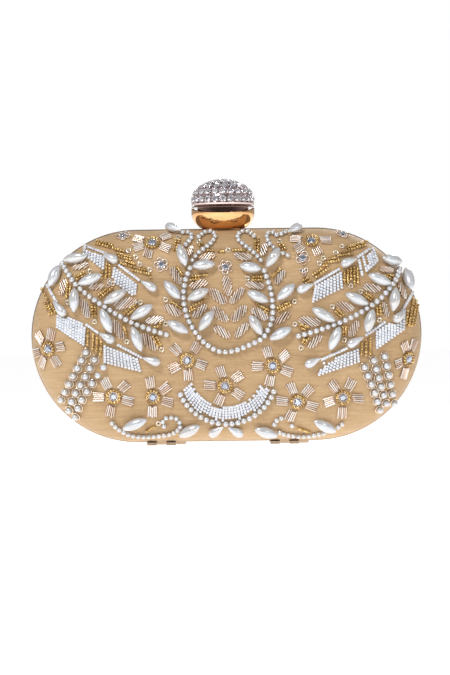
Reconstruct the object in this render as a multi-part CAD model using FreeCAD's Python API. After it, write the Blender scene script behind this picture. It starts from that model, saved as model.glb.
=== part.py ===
"""Evening bag: a stadium-shaped hard-shell clutch with bottom hinges, a dome clasp and an embroidered front.

Frame, in millimetres: X is the width, -Y the front, +Z up. The floor is z = 0. The two halves meet at the
plane y = PART_Y, which stands a little behind the origin because only the front carries beads.
"""
import FreeCAD, Part
import math
import os
from FreeCAD import Vector as V

# ---- driving dimensions -------------------------------------------------------------------------------
HALF_STRAIGHT = 45.5      # half the straight part of the top and bottom edges
OUTLINE_R = 54.5          # radius of the round ends, over the metal frame
CENTRE_Z = 56.05          # height of the outline's centre line
PART_Y = 3.0              # plane where the two halves meet
PARTING_GAP = 0.15        # each half stands this far off that plane
GAP = 0.05                # play between pieces that touch

BAND_DEPTH = 5.0          # how far the metal band runs forward from the parting plane
BAND_T = 1.2
FLANGE_T = 0.8
FLANGE_IN_R = 50.5
COVER_R = 54.0            # silk cover, outside radius at the band
SHELL_DEPTH = 26.0        # parting plane to the crown of the silk
SHOULDER_R = 18.0
COVER_T = 0.7
SHELL_T = 1.8
LINING_T = 0.7

HINGE_X = 31.5
HINGE_Z = 1.45
HINGE_PITCH = 4.9         # length of one knuckle
KNUCKLE_R = 1.4
KNUCKLE_COUNT = 4
HINGE_PIN_R = 0.6
FOOT_REACH = 9.0          # how far the knuckle's foot runs under its own half
NOTCH_HALF = 13.0
NOTCH_DEPTH = 2.2
NOTCH_TOP = 3.2

CLASP_X = -1.0            # the clasp stands a touch left of the middle
CUP_R = 16.2
CUP_BELLY_R = 8.8
CUP_BELLY_Z = 118.9
CUP_T = 1.1
CUP_BASE_R = 10.2
CUP_FLOOR_Z = 111.6
CUP_RIM_Z = 121.3
CUP_SCOOP = 3.0           # how much the rim dips at the front and the back
PIVOT_Y = PART_Y + 4.0
PIVOT_Z = 115.0
CLASP_PIN_R = 1.0
CLASP_PIN_HALF = 5.3
CLASP_PIN_HEAD_R = 1.4
LUG_T = 1.5
LUG_R = 1.8
LUG_STARTS = (-4.7, 3.2)  # where each lug begins, from the clasp's middle
SPRING_R = 1.45
SPRING_WIRE_R = 0.28
SPRING_START = -2.75
SPRING_PITCH = 0.62
SPRING_COILS = 3
KEEPER_Y = PART_Y - 3.3
KEEPER_Z = 116.3
KEEPER_R = 0.8
KEEPER_HALF = 5.2
KEEPER_POST_W = 1.2
KEEPER_FOOT = (8.4, 4.3, 1.5, 0.6)      # half width, front edge, rear edge, thickness
HUB_R = 2.1
HUB_ENDS = (-0.9, 3.1)    # from the clasp's middle
STEM_HALF = 1.6
FLANGE = (5.4, 4.0, 3.0, 0.9)           # half width, reach forward, reach back, thickness
ARM_HALF = 2.2
ARM_REACH = 2.3           # how far the hook's arm runs past the keeper
ARM_Z = (117.6, 118.8)
BARB = (116.2, 1.1)       # lower end and thickness
SCREW_X = 4.3
SCREW_R = 0.55
SCREW_HEAD_R = 0.85
SCREW_HEAD_T = 0.8
SCREW_BITE = 0.9
DOME_R = 15.1
DOME_BASE_Z = 121.5
DOME_Z = 123.7
DOME_RISE = 11.3
DOME_SHOULDER = 8.0
DOME_T = 1.2
BEZEL_H = 1.0             # height of the bright band round the dome's foot
BEZEL_OUT = 1.0
PLATE_LIP = (0.8, 0.6, 0.8)             # the base plate's reach past the dome, its edge and its shoulder
PLATE_PLUG = 0.3          # how far the plate's middle stands inside the dome
COLLAR = (13.2, 0.8, 118.6)             # ring under the base plate: radius, wall, lower edge
GEM_R = 1.65
GEM_BODY_H = 0.5
GEM_TABLE = (0.9, 0.6)    # radius and height of the cut top
GEM_ROWS = ((24, 0.4), (22, 4.4), (17, 8.5), (11, 12.6), (6, 16.3), (1, 19.85))   # count, run from the rim
RIVET_X = 7.0
RIVET_Y = 2.9             # distance of each rivet from the parting plane
RIVET_R = 0.8
RIVET_HEAD_R = 1.3
RIVET_HEAD_T = 0.6
RIVET_TAIL = 0.7

PEARL_R = 1.5             # stem and lyre pearls
SMALL_PEARL_R = 1.25      # scroll pearls
CLUSTER_PEARL_R = 1.7
SEED_R = 0.65
SEED_PITCH = 1.4
STONE_R = 2.2
STONE_LIFT = 0.9          # height of a stone's girdle over the silk
ACCENT_R = 1.7
SEQUIN_LIFT = 0.35
BEAD_GAP = 0.08           # least room between two beads
ROW_PITCH = 2 * SEED_R + BEAD_GAP + 0.01
FINE_STEP = 0.12          # step by which a pearl is moved along its line until it has room

PARTS = "parts"


def save(name, solids):
    """Write one node: one solid, or a group of separate solids."""
    solids = solids if isinstance(solids, list) else [solids]
    shape = solids[0] if len(solids) == 1 else Part.makeCompound(solids)
    bad = sum(not s.isValid() for s in solids)
    print(f"{name:28s} {len(solids):4d} solids  {shape.Volume:10.1f} mm3  invalid {bad}")
    shape.exportStep(f"{PARTS}/{name}.step")


def box(x0, y0, z0, x1, y1, z1):
    return Part.makeBox(x1 - x0, y1 - y0, z1 - z0, V(x0, y0, z0))


def rod(start, end, radius):
    axis = V(*end) - V(*start)
    return Part.makeCylinder(radius, axis.Length, V(*start), axis)


def fuse(*shapes):
    made = shapes[0].multiFuse(list(shapes[1:])).removeSplitter().Solids
    assert len(made) == 1, "pieces that should be one solid don't meet"
    return made[0]


# ---- the domed profile --------------------------------------------------------------------------------
class Dome:
    """Crown and shoulder arcs in one tangent line, over a straight rim; r is outwards, d along the axis."""

    def __init__(self, rim, shoulder, depth, rim_depth):
        self.side = rim - shoulder
        self.shoulder = shoulder
        self.rim_depth = rim_depth
        rise = depth - rim_depth
        self.crown = (self.side ** 2 + rise ** 2 - shoulder ** 2) / (2 * (rise - shoulder))
        self.crown_at = depth - self.crown
        self.lean = math.atan2(self.side, rim_depth - self.crown_at)

    def on_crown(self, angle, inset):
        reach = self.crown - inset
        return reach * math.sin(angle), self.crown_at + reach * math.cos(angle)

    def on_shoulder(self, angle, inset):
        reach = self.shoulder - inset
        return self.side + reach * math.sin(angle), self.rim_depth + reach * math.cos(angle)

    def curve(self, inset, floor, place):
        """Edges from the apex down to the rim and on to the floor."""
        crown = [self.on_crown(self.lean * share, inset) for share in (0, 0.5, 1)]
        half_turn = math.pi / 2
        angles = [self.lean, (self.lean + half_turn) / 2, half_turn]
        shoulder = [self.on_shoulder(a, inset) for a in angles]
        rim = shoulder[-1]
        edges = [Part.Arc(*[place(*p) for p in crown]).toShape()]
        edges.append(Part.Arc(*[place(*p) for p in shoulder]).toShape())
        if rim[1] - floor > 1e-6:
            edges.append(Part.makeLine(place(*rim), place(rim[0], floor)))
        return edges, (rim[0], floor)

    def layer(self, outer, inner, floor, place):
        """Closed half section between two insets of the profile."""
        out_edges, out_end = self.curve(outer, floor, place)
        in_edges, in_end = self.curve(inner, floor, place)
        ends = Part.makeLine(place(*out_end), place(*in_end))
        axis = Part.makeLine(place(*self.on_crown(0, inner)), place(*self.on_crown(0, outer)))
        edges = Part.__sortEdges__(out_edges + [ends] + in_edges + [axis])
        return Part.Face(Part.Wire(edges))

    def height(self, r, offset=0.0):
        """Depth and outward normal (in r and d) of the surface that stands offset above the profile."""
        crown = self.crown + offset
        if r <= crown * math.sin(self.lean):
            up = math.sqrt(crown ** 2 - r ** 2)
            return self.crown_at + up, (r / crown, up / crown)
        shoulder = self.shoulder + offset
        out = min(r - self.side, shoulder)
        up = math.sqrt(shoulder ** 2 - out ** 2)
        return self.rim_depth + up, (out / shoulder, up / shoulder)


SHELL = Dome(COVER_R, SHOULDER_R, SHELL_DEPTH, BAND_DEPTH + GAP)
CLASP = Dome(DOME_R, DOME_SHOULDER, DOME_RISE, DOME_SHOULDER / 6)


def section_place(side):
    """Section plane x = 0 of one half: side is -1 for the front and +1 for the back."""
    return lambda r, d: V(0, PART_Y + side * d, r)


def stadium(face):
    """Sweep a half section round the stadium: two half turns and two straight runs."""
    turn = face.revolve(V(0, PART_Y, 0), V(0, 1, 0), 180)
    right = turn.copy()
    right.translate(V(HALF_STRAIGHT, 0, 0))
    left = turn.copy()
    left.rotate(V(0, PART_Y, 0), V(0, 1, 0), 180)
    left.translate(V(-HALF_STRAIGHT, 0, 0))
    start = face.copy()
    start.translate(V(-HALF_STRAIGHT, 0, 0))
    top = start.extrude(V(2 * HALF_STRAIGHT, 0, 0))
    bottom = top.copy()
    bottom.rotate(V(0, PART_Y, 0), V(0, 1, 0), 180)
    solid = right.multiFuse([left, top, bottom]).removeSplitter().Solids[0]
    solid.translate(V(0, 0, CENTRE_Z))
    return solid


def polygon(points, place):
    return Part.Face(Part.makePolygon([place(*p) for p in points + points[:1]]))


# ---- shells, covers, linings and frames ---------------------------------------------------------------
def hinge_notches(side):
    lo, hi = sorted((PART_Y - side, PART_Y + side * NOTCH_DEPTH))
    return [box(x - NOTCH_HALF, lo, -1, x + NOTCH_HALF, hi, NOTCH_TOP) for x in (-HINGE_X, HINGE_X)]


def rivet_holes(side, radius=RIVET_R + GAP):
    y = PART_Y + side * RIVET_Y
    return [rod((CLASP_X + x, y, 100), (CLASP_X + x, y, 114), radius) for x in (-RIVET_X, RIVET_X)]


def frame_ring(side):
    floor = PARTING_GAP
    points = [
        (OUTLINE_R, floor), (OUTLINE_R, BAND_DEPTH - 0.5), (OUTLINE_R - 0.4, BAND_DEPTH),
        (OUTLINE_R - BAND_T, BAND_DEPTH), (OUTLINE_R - BAND_T, floor + FLANGE_T),
        (FLANGE_IN_R, floor + FLANGE_T), (FLANGE_IN_R, floor),
    ]
    ring = stadium(polygon(points, section_place(side)))
    return ring.cut(hinge_notches(side) + rivet_holes(side)).Solids[0]


def shells(side, name):
    place = section_place(side)
    floor = PARTING_GAP + FLANGE_T + GAP
    holes = hinge_notches(side) + rivet_holes(side)
    shell_in = COVER_T + GAP
    lining_in = shell_in + SHELL_T + GAP
    save(f"{name}_cover", stadium(SHELL.layer(0, COVER_T, BAND_DEPTH + GAP, place)))
    shell = stadium(SHELL.layer(shell_in, shell_in + SHELL_T, floor, place))
    save(f"{name}_shell", shell.cut(holes).Solids[0])
    lining = stadium(SHELL.layer(lining_in, lining_in + LINING_T, floor, place))
    save(f"{name}_lining", lining.cut(rivet_holes(side)).Solids[0])
    save(f"{name}_frame", frame_ring(side))


# ---- hinges -------------------------------------------------------------------------------------------
def knuckle(x, side):
    """One rolled knuckle with the foot that runs under its own half's band."""
    length = HINGE_PITCH - 2 * GAP
    x0 = x + GAP
    tube = rod((x0, PART_Y, HINGE_Z), (x0 + length, PART_Y, HINGE_Z), KNUCKLE_R)
    lo, hi = sorted((PART_Y, PART_Y + side * FOOT_REACH))
    foot = box(x0, lo, 0, x0 + length, hi, HINGE_Z + GAP)
    bore = rod((x0 - 1, PART_Y, HINGE_Z), (x0 + length + 1, PART_Y, HINGE_Z), HINGE_PIN_R + GAP)
    return fuse(tube, foot).cut(bore).Solids[0]


def hinges():
    reach = KNUCKLE_COUNT * HINGE_PITCH / 2
    for label, x in (("left", -HINGE_X), ("right", HINGE_X)):
        starts = [x - reach + i * HINGE_PITCH for i in range(KNUCKLE_COUNT)]
        save(f"front_hinge_knuckles_{label}", [knuckle(s, -1) for s in starts[0::2]])
        save(f"back_hinge_knuckles_{label}", [knuckle(s, 1) for s in starts[1::2]])
        pin = rod((x - reach - 0.4, PART_Y, HINGE_Z), (x + reach + 0.4, PART_Y, HINGE_Z), HINGE_PIN_R)
        heads = [
            rod((x + s * reach, PART_Y, HINGE_Z), (x + s * (reach + 0.5), PART_Y, HINGE_Z), 1.0)
            for s in (-1, 1)
        ]
        save(f"hinge_pin_{label}", fuse(pin, *heads))


# ---- clasp --------------------------------------------------------------------------------------------
def clasp_axis():
    return V(CLASP_X, PART_Y, 0), V(0, 0, 1)


def turned(points):
    """Solid of revolution about the clasp's axis from a polygon of (r, z), where arcs are 3-point lists."""
    edges = []
    for shape in points:
        place = [V(CLASP_X + r, PART_Y, z) for r, z in shape]
        edges.append(Part.Arc(*place).toShape() if len(place) == 3 else Part.makeLine(*place))
    return Part.Face(Part.Wire(Part.__sortEdges__(edges))).revolve(*clasp_axis(), 360)


def belly_point(radius, z):
    return CUP_R - CUP_BELLY_R + math.sqrt(radius ** 2 - (CUP_BELLY_Z - z) ** 2), z


def cup_half(side):
    """Half of the bowl, its foot shaped to the frame and the silk under it."""
    base_z = CENTRE_Z + OUTLINE_R - 2.5
    out_r = CUP_BELLY_R
    in_r = CUP_BELLY_R - CUP_T
    out_low = belly_point(out_r, CUP_BELLY_Z - 8.35)
    in_low = belly_point(in_r, CUP_FLOOR_Z)
    top = CUP_RIM_Z
    bowl = turned([
        [(0, base_z), (CUP_BASE_R, base_z)],
        [(CUP_BASE_R, base_z), out_low],
        [out_low, belly_point(out_r, CUP_BELLY_Z - 4), (CUP_R, CUP_BELLY_Z)],
        [(CUP_R, CUP_BELLY_Z), (CUP_R, top)],
        [(CUP_R, top), (CUP_R - CUP_T, top)],
        [(CUP_R - CUP_T, top), (CUP_R - CUP_T, CUP_BELLY_Z)],
        [(CUP_R - CUP_T, CUP_BELLY_Z), belly_point(in_r, CUP_BELLY_Z - 4), in_low],
        [in_low, (0, CUP_FLOOR_Z)],
        [(0, CUP_FLOOR_Z), (0, base_z)],
    ])
    place = section_place(side)
    under = stadium(SHELL.layer(-GAP, 30, BAND_DEPTH + GAP, place))
    band = stadium(polygon([(OUTLINE_R + GAP, -1), (OUTLINE_R + GAP, BAND_DEPTH + GAP),
                            (40, BAND_DEPTH + GAP), (40, -1)], place))
    away = 20
    low = top - CUP_SCOOP / CUP_R * away
    profile = [(0, top), (away, low), (away, top + 5), (-away, top + 5), (-away, low)]
    roof = polygon(profile, lambda y, z: V(-away, PART_Y + y, z)).extrude(V(2 * away, 0, 0))
    lo, hi = (PART_Y + PARTING_GAP, PART_Y + 30) if side > 0 else (PART_Y - 30, PART_Y - PARTING_GAP)
    half = bowl.common(box(-30, lo, 100, 30, hi, 130))
    return half.cut([under, band, roof] + rivet_holes(side)).Solids[0]


def across(half, y, z, radius):
    """Bar along X, half long each way from the clasp's middle."""
    return rod((CLASP_X - half, y, z), (CLASP_X + half, y, z), radius)


def lug(start):
    """Ear on the rear cup that carries the clasp pin."""
    x = CLASP_X + start
    post = box(x, PIVOT_Y - LUG_R, CUP_FLOOR_Z - 0.3, x + LUG_T, PIVOT_Y + LUG_R, PIVOT_Z)
    eye = rod((x, PIVOT_Y, PIVOT_Z), (x + LUG_T, PIVOT_Y, PIVOT_Z), LUG_R)
    return [post, eye]


def cups():
    save("clasp_front_cup", cup_half(-1))
    ears = [piece for start in LUG_STARTS for piece in lug(start)]
    rear = fuse(cup_half(1), *ears)
    bore = across(CUP_BASE_R - 1, PIVOT_Y, PIVOT_Z, CLASP_PIN_R + GAP)
    save("clasp_rear_cup", rear.cut(bore).Solids[0])
    heads = []
    for way in (-1, 1):
        start = CLASP_X + way * (CLASP_PIN_HALF - 0.5)
        heads.append(rod((start, PIVOT_Y, PIVOT_Z), (start + way * 0.6, PIVOT_Y, PIVOT_Z), CLASP_PIN_HEAD_R))
    save("clasp_pin", fuse(across(CLASP_PIN_HALF, PIVOT_Y, PIVOT_Z, CLASP_PIN_R), *heads))


def keeper():
    """Bar on two posts that the hook drops over."""
    floor = CUP_FLOOR_Z + GAP
    half, front, rear, thick = KEEPER_FOOT
    foot = box(CLASP_X - half, PART_Y - front, floor, CLASP_X + half, PART_Y - rear, floor + thick)
    posts = []
    for start in (-KEEPER_HALF, KEEPER_HALF - KEEPER_POST_W):
        x = CLASP_X + start
        posts.append(box(x, KEEPER_Y - KEEPER_R, floor, x + KEEPER_POST_W, KEEPER_Y + KEEPER_R, KEEPER_Z))
    bar = across(KEEPER_HALF, KEEPER_Y, KEEPER_Z, KEEPER_R)
    save("clasp_keeper", fuse(foot, bar, *posts).cut(rivet_holes(-1)).Solids[0])


def screw_holes(low, high):
    made = []
    for way in (-1, 1):
        x = CLASP_X + way * SCREW_X
        made.append(rod((x, PIVOT_Y, low), (x, PIVOT_Y, high), SCREW_R + GAP))
    return made


def lever():
    """Hub on the pin, stem and flange up to the dome, and the hook that reaches over the keeper."""
    start, end = (CLASP_X + offset for offset in HUB_ENDS)
    half, forward, back, thick = FLANGE
    top = DOME_BASE_Z - GAP
    under = top - thick
    hub = rod((start, PIVOT_Y, PIVOT_Z), (end, PIVOT_Y, PIVOT_Z), HUB_R)
    stem = box(start, PIVOT_Y - STEM_HALF, PIVOT_Z, end, PIVOT_Y + STEM_HALF, under)
    flange = box(CLASP_X - half, PIVOT_Y - forward, under, CLASP_X + half, PIVOT_Y + back, top)
    tip = KEEPER_Y - ARM_REACH
    arm = box(CLASP_X - ARM_HALF, tip, ARM_Z[0], CLASP_X + ARM_HALF, PIVOT_Y, ARM_Z[1])
    low, barb_t = BARB
    barb = box(CLASP_X - ARM_HALF, tip, low, CLASP_X + ARM_HALF, tip + barb_t, ARM_Z[0] + 0.1)
    bore = across(HUB_R * 4, PIVOT_Y, PIVOT_Z, CLASP_PIN_R + GAP)
    made = fuse(hub, stem, flange, arm, barb).cut([bore] + screw_holes(under - 1, top + 1))
    save("clasp_lever", made.Solids[0])
    screws = []
    for way in (-1, 1):
        x = CLASP_X + way * SCREW_X
        head = rod((x, PIVOT_Y, under - SCREW_HEAD_T), (x, PIVOT_Y, under - GAP), SCREW_HEAD_R)
        shank = rod((x, PIVOT_Y, under - 0.1), (x, PIVOT_Y, DOME_BASE_Z + SCREW_BITE), SCREW_R)
        screws.append(fuse(head, shank))
    save("dome_screws", screws)


def spring():
    """Torsion spring on the pin, as its close-wound coils."""
    coils = []
    for i in range(SPRING_COILS):
        centre = V(CLASP_X + SPRING_START + i * SPRING_PITCH, PIVOT_Y, PIVOT_Z)
        coils.append(Part.makeTorus(SPRING_R, SPRING_WIRE_R, centre, V(1, 0, 0)))
    save("clasp_spring", coils)


def dome():
    """Dome shell with its bezel band, and the base plate that closes it from below."""
    z = DOME_Z
    foot = z - BEZEL_H
    inner, outer = DOME_R - DOME_T, DOME_R + BEZEL_OUT
    place = lambda r, d: V(CLASP_X + r, PART_Y, z + d)
    cap = CLASP.layer(0, DOME_T, 0, place).revolve(*clasp_axis(), 360)
    band = turned([
        [(inner, foot), (outer - 0.1, foot)], [(outer - 0.1, foot), (outer, z - 0.2)],
        [(outer, z - 0.2), (DOME_R, z)], [(DOME_R, z), (inner, z)], [(inner, z), (inner, foot)],
    ])
    save("clasp_dome", fuse(cap, band))
    low = DOME_BASE_Z
    reach, edge, shoulder = PLATE_LIP
    lip, plug, top = DOME_R + reach, DOME_R - PLATE_PLUG, foot - GAP
    plate = turned([
        [(0, low), (lip, low)], [(lip, low), (lip, low + edge)], [(lip, low + edge), (plug, low + shoulder)],
        [(plug, low + shoulder), (plug, top)], [(plug, top), (0, top)], [(0, top), (0, low)],
    ])
    radius, wall, collar_low = COLLAR
    collar = turned([
        [(radius - wall, collar_low), (radius, collar_low)], [(radius, collar_low), (radius, low + edge / 2)],
        [(radius, low + edge / 2), (radius - wall, low + edge / 2)],
        [(radius - wall, low + edge / 2), (radius - wall, collar_low)],
    ])
    holes = screw_holes(low - 1, low + SCREW_BITE + GAP)
    save("dome_base", fuse(plate, collar).cut(holes).Solids[0])


def rhinestones():
    """Rows of round stones on the dome, from the bezel band up to the crown."""
    shoulder_run = CLASP.shoulder * (math.pi / 2 - CLASP.lean)
    table_r, table_h = GEM_TABLE
    stones = []
    for i, (count, run) in enumerate(GEM_ROWS):
        if count == 1:
            angle = 0
            r, d = CLASP.on_crown(angle, -GAP)
        elif run <= shoulder_run:
            angle = math.pi / 2 - run / CLASP.shoulder
            r, d = CLASP.on_shoulder(angle, -GAP)
        else:
            angle = CLASP.lean - (run - shoulder_run) / CLASP.crown
            r, d = CLASP.on_crown(angle, -GAP)
        for k in range(count):
            turn = 2 * math.pi * (k + 0.5 * (i % 2)) / count
            out = V(math.cos(turn), math.sin(turn), 0)
            normal = out * math.sin(angle) + V(0, 0, math.cos(angle))
            foot = V(CLASP_X, PART_Y, DOME_Z + d) + out * r
            body = Part.makeCylinder(GEM_R, GEM_BODY_H, foot, normal)
            table = Part.makeCone(GEM_R, table_r, table_h, foot + normal * GEM_BODY_H, normal)
            stones.append(fuse(body, table))
    save("dome_rhinestones", stones)


def rivets(side, name):
    """Rivets from the cup's floor through band, shell and lining."""
    y = PART_Y + side * RIVET_Y
    foot_t = KEEPER_FOOT[3] + GAP if side < 0 else 0
    seat_z = CUP_FLOOR_Z + GAP + foot_t
    low = CENTRE_Z + OUTLINE_R - BAND_T - 2 * GAP - SHELL_T - LINING_T - GAP
    made = []
    for x in (CLASP_X - RIVET_X, CLASP_X + RIVET_X):
        shank = rod((x, y, low - RIVET_TAIL), (x, y, seat_z + RIVET_HEAD_T / 2), RIVET_R)
        head = rod((x, y, seat_z), (x, y, seat_z + RIVET_HEAD_T), RIVET_HEAD_R)
        tail = rod((x, y, low - RIVET_TAIL), (x, y, low - GAP), RIVET_HEAD_R)
        made.append(fuse(shank, head, tail))
    save(f"{name}_clasp_rivets", made)


# ---- embroidery ---------------------------------------------------------------------------------------
# Every bead is placed by (u, v): where it shows from the front, from the middle of the outline.
def seat(u, v, lift):
    """The point at height lift over the front silk that shows at (u, v), and the silk's outward normal."""
    core = max(-HALF_STRAIGHT, min(HALF_STRAIGHT, u))
    r = math.hypot(u - core, v)
    out = V((u - core) / r, 0, v / r) if r > 1e-9 else V(0, 0, 1)
    r = min(r, COVER_R + lift - 0.1)
    depth, (lean, rise) = SHELL.height(r, lift)
    return V(core, PART_Y - depth, CENTRE_Z) + out * r, out * lean + V(0, -rise, 0)


def spline(points, step):
    """Points every step along a smooth curve through the given ones."""
    ends = [points[0]] + list(points) + [points[-1]]
    fine = []
    for p0, p1, p2, p3 in zip(ends, ends[1:], ends[2:], ends[3:]):
        for i in range(24):
            t = i / 24
            fine.append(tuple(
                b + 0.5 * t * (c - a + t * (2 * a - 5 * b + 4 * c - d + t * (3 * (b - c) + d - a)))
                for a, b, c, d in zip(p0, p1, p2, p3)
            ))
    fine.append(tuple(points[-1]))
    length = sum(math.dist(a, b) for a, b in zip(fine, fine[1:]))
    if length < step / 2:
        return [tuple(points[0])]
    count = max(1, round(length / step))
    stops = [length * i / count for i in range(count + 1)]
    placed, run = [fine[0]], 0.0
    for a, b in zip(fine, fine[1:]):
        piece = math.dist(a, b)
        if piece == 0:
            continue
        while len(placed) <= count and run + piece >= stops[len(placed)] - 1e-9:
            share = (stops[len(placed)] - run) / piece
            placed.append((a[0] + (b[0] - a[0]) * share, a[1] + (b[1] - a[1]) * share))
        run += piece
    return placed


class Embroidery:
    """Beads by node. A bead goes down only where it clears every bead already there."""

    CELL = 6.0

    def __init__(self):
        self.cells = {}
        self.nodes = {}
        self.refused = []

    def cell(self, p):
        return tuple(int(c // self.CELL) for c in (p.x, p.z))

    def clear(self, balls):
        for p, r in balls:
            i, k = self.cell(p)
            for cell in ((i + a, k + b) for a in (-1, 0, 1) for b in (-1, 0, 1)):
                for q, s in self.cells.get(cell, ()):
                    if (p - q).Length < r + s + BEAD_GAP:
                        return False
        return True

    def put(self, node, solid, balls):
        self.nodes.setdefault(node, []).append(solid)
        for p, r in balls:
            self.cells.setdefault(self.cell(p), []).append((p, r))

    def refuse(self, node, u, v):
        self.refused.append(f"{node} at ({u:.0f}, {v:.0f})")

    def pearl(self, node, u, v, radius):
        p, _ = seat(u, v, radius + GAP)
        if not self.clear([(p, radius)]):
            return False
        self.put(node, Part.makeSphere(radius, p), [(p, radius)])
        return True

    def pearls(self, node, points, radius):
        """A line of pearls, each as near the last as it can lie."""
        for u, v in spline(points, FINE_STEP):
            self.pearl(node, u, v, radius)

    def long_bead(self, node, tip, end, profile):
        """A turned bead from tip to end, shortened a little or slid along its own line until it is clear."""
        radius = max(r for _, r in profile)
        lift = radius + GAP
        run = math.dist(tip, end)
        way = ((end[0] - tip[0]) / run, (end[1] - tip[1]) / run)
        spread = (seat(*end, lift)[0] - seat(*tip, lift)[0]).Length
        full = profile[-1][0] - profile[0][0]
        for shift, share in TRIES:
            mid = [(a + b) / 2 + w * shift for a, b, w in zip(tip, end, way)]
            centre, _ = seat(*mid, lift)
            ahead, _ = seat(mid[0] + way[0], mid[1] + way[1], lift)
            axis = (ahead - centre).normalize()
            stretch = share * min(LONGEST, max(SHORTEST, spread / full))
            shape = [(t * stretch, r) for t, r in profile]
            balls = [(centre + axis * t, r) for t, r in filled(shape)]
            if self.clear(balls):
                self.put(node, turned_bead(shape, centre, axis), balls)
                return
        self.refuse(node, *mid)

    def plate(self, node, start, end, widths, thick):
        """A flat tapered pad of laid wire, drawn in from its inner end until it is clear."""
        run = math.dist(start, end)
        way = ((end[0] - start[0]) / run, (end[1] - start[1]) / run)
        for inner, outer in TRIMS:
            near = [a + w * inner for a, w in zip(start, way)]
            far = [b - w * outer for b, w in zip(end, way)]
            mid = [(a + b) / 2 for a, b in zip(near, far)]
            centre, normal = seat(*mid, thick / 2 + GAP)
            ahead, _ = seat(mid[0] + way[0], mid[1] + way[1], thick / 2 + GAP)
            axis = (ahead - centre).normalize()
            half = math.dist(near, far) / 2
            balls = []
            for share, width in filled(widths):
                spread = width / 2 - thick / 2
                for k in (-1, -0.5, 0, 0.5, 1):
                    point = centre + axis * (half * share) + axis.cross(normal) * (k * spread)
                    balls.append((point, thick / 2 + GAP))
            if self.clear(balls):
                self.put(node, flat_pad(centre, axis, normal, half, widths, thick), balls)
                return
        self.refuse(node, *end)

    def string(self, node, start, end, radius=SEED_R):
        """A row of seed beads, broken where something else lies and where the silk curves away."""
        points = spline([start, end], SEED_PITCH)
        beads = []
        for u, v in points:
            p, _ = seat(u, v, radius + 3 * GAP)
            beads.append(p if self.clear([(p, radius)]) else None)
        run = []
        for p in beads + [None]:
            if p is not None and straight(run + [p]):
                run.append(p)
                continue
            if run:
                self.lay(node, run, radius)
            run = [p] if p is not None else []

    def lay(self, node, run, radius):
        if len(run) > 1:
            half = (run[-1] - run[0]).normalize() * (SEED_PITCH / 2 - 2 * GAP)
            a, b = run[0] - half, run[-1] + half
            steps = 4 * len(run)
            balls = [(a + (b - a) * ((i + 0.5) / steps), radius) for i in range(steps)]
            self.put(node, Part.makeCylinder(radius, (b - a).Length, a, b - a), balls)
        else:
            self.put(node, Part.makeSphere(radius, run[0]), [(run[0], radius)])

    def ring(self, node, u, v, major, minor, seen=SEQUIN_LIFT, height=SEQUIN_LIFT):
        """A ring round what shows at (u, v) when it stands seen high, itself at its own height."""
        p, normal = seat(u, v, seen)
        p = p - normal * (seen - height)
        side = normal.cross(V(1, 0, 0)).normalize()
        across = normal.cross(side)
        turns = [2 * math.pi * i / 30 for i in range(30)]
        balls = [(p + side * (major * math.sin(t)) + across * (major * math.cos(t)), minor) for t in turns]
        if not self.clear(balls):
            self.refuse(node, u, v)
            return False
        self.put(node, Part.makeTorus(major, minor, p, normal), balls)
        return True

    def stone(self, node, u, v, radius):
        p, normal = seat(u, v, STONE_LIFT)
        foot = p - normal * (STONE_LIFT - GAP)
        body = Part.makeCylinder(radius, 0.9, foot, normal)
        table = Part.makeCone(radius, radius * 0.55, radius * 0.4, foot + normal * 0.9, normal)
        self.put(node, fuse(body, table), [(foot + normal * 0.7, radius)])


TRIES = [(0.2 * k, 1 - 0.02 * c) for k in range(14) for c in range(4)]     # slide, share of the length
SHORTEST, LONGEST = 0.92, 1.04
TRIMS = [(0.3 * i, 0.3 * o) for i in range(12) for o in range(6)]
MARQUISE_PROFILE = ((-6.1, 0.5), (-4.3, 1.85), (-1.6, 2.75), (1.6, 2.75), (4.3, 1.85), (6.1, 0.5))
DROP_PROFILE = ((-4.9, 0.5), (-1.6, 1.3), (0.8, 2.3), (2.6, 2.5), (4.0, 1.8), (4.8, 0.6))
LEAF = ((-1, 0.9), (-0.5, 2.9), (0, 3.5), (0.5, 2.9), (1, 0.9))
PETAL = ((-1, 3.2), (-0.35, 4.2), (0.35, 4.7), (1, 4.9))
PAD_T = 1.2


def straight(run):
    if len(run) < 3:
        return True
    chord = (run[-1] - run[0]).normalize()
    return all(((p - run[0]).cross(chord)).Length < 2 * GAP for p in run)


def filled(profile):
    """The points of a profile with three more between each two."""
    balls = []
    for (t0, r0), (t1, r1) in zip(profile, profile[1:]):
        for i in range(4):
            balls.append((t0 + (t1 - t0) * i / 4, r0 + (r1 - r0) * i / 4))
    return balls + [profile[-1]]


def turned_bead(profile, centre, axis):
    """Solid of revolution about axis through the points (along, radius)."""
    side = axis.cross(V(0, 1, 0)).normalize()
    points = [(profile[0][0], 0)] + list(profile) + [(profile[-1][0], 0)]
    place = [centre + axis * t + side * r for t, r in points]
    face = Part.Face(Part.makePolygon(place + place[:1]))
    return face.revolve(centre, axis, 360)


def flat_pad(centre, axis, normal, half, widths, thick):
    side = axis.cross(normal)
    foot = centre - normal * (thick / 2)
    outline = [foot + axis * (half * t) + side * (w / 2) for t, w in widths]
    outline += [foot + axis * (half * t) - side * (w / 2) for t, w in reversed(widths)]
    return Part.Face(Part.makePolygon(outline + outline[:1])).extrude(normal * thick)


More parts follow.
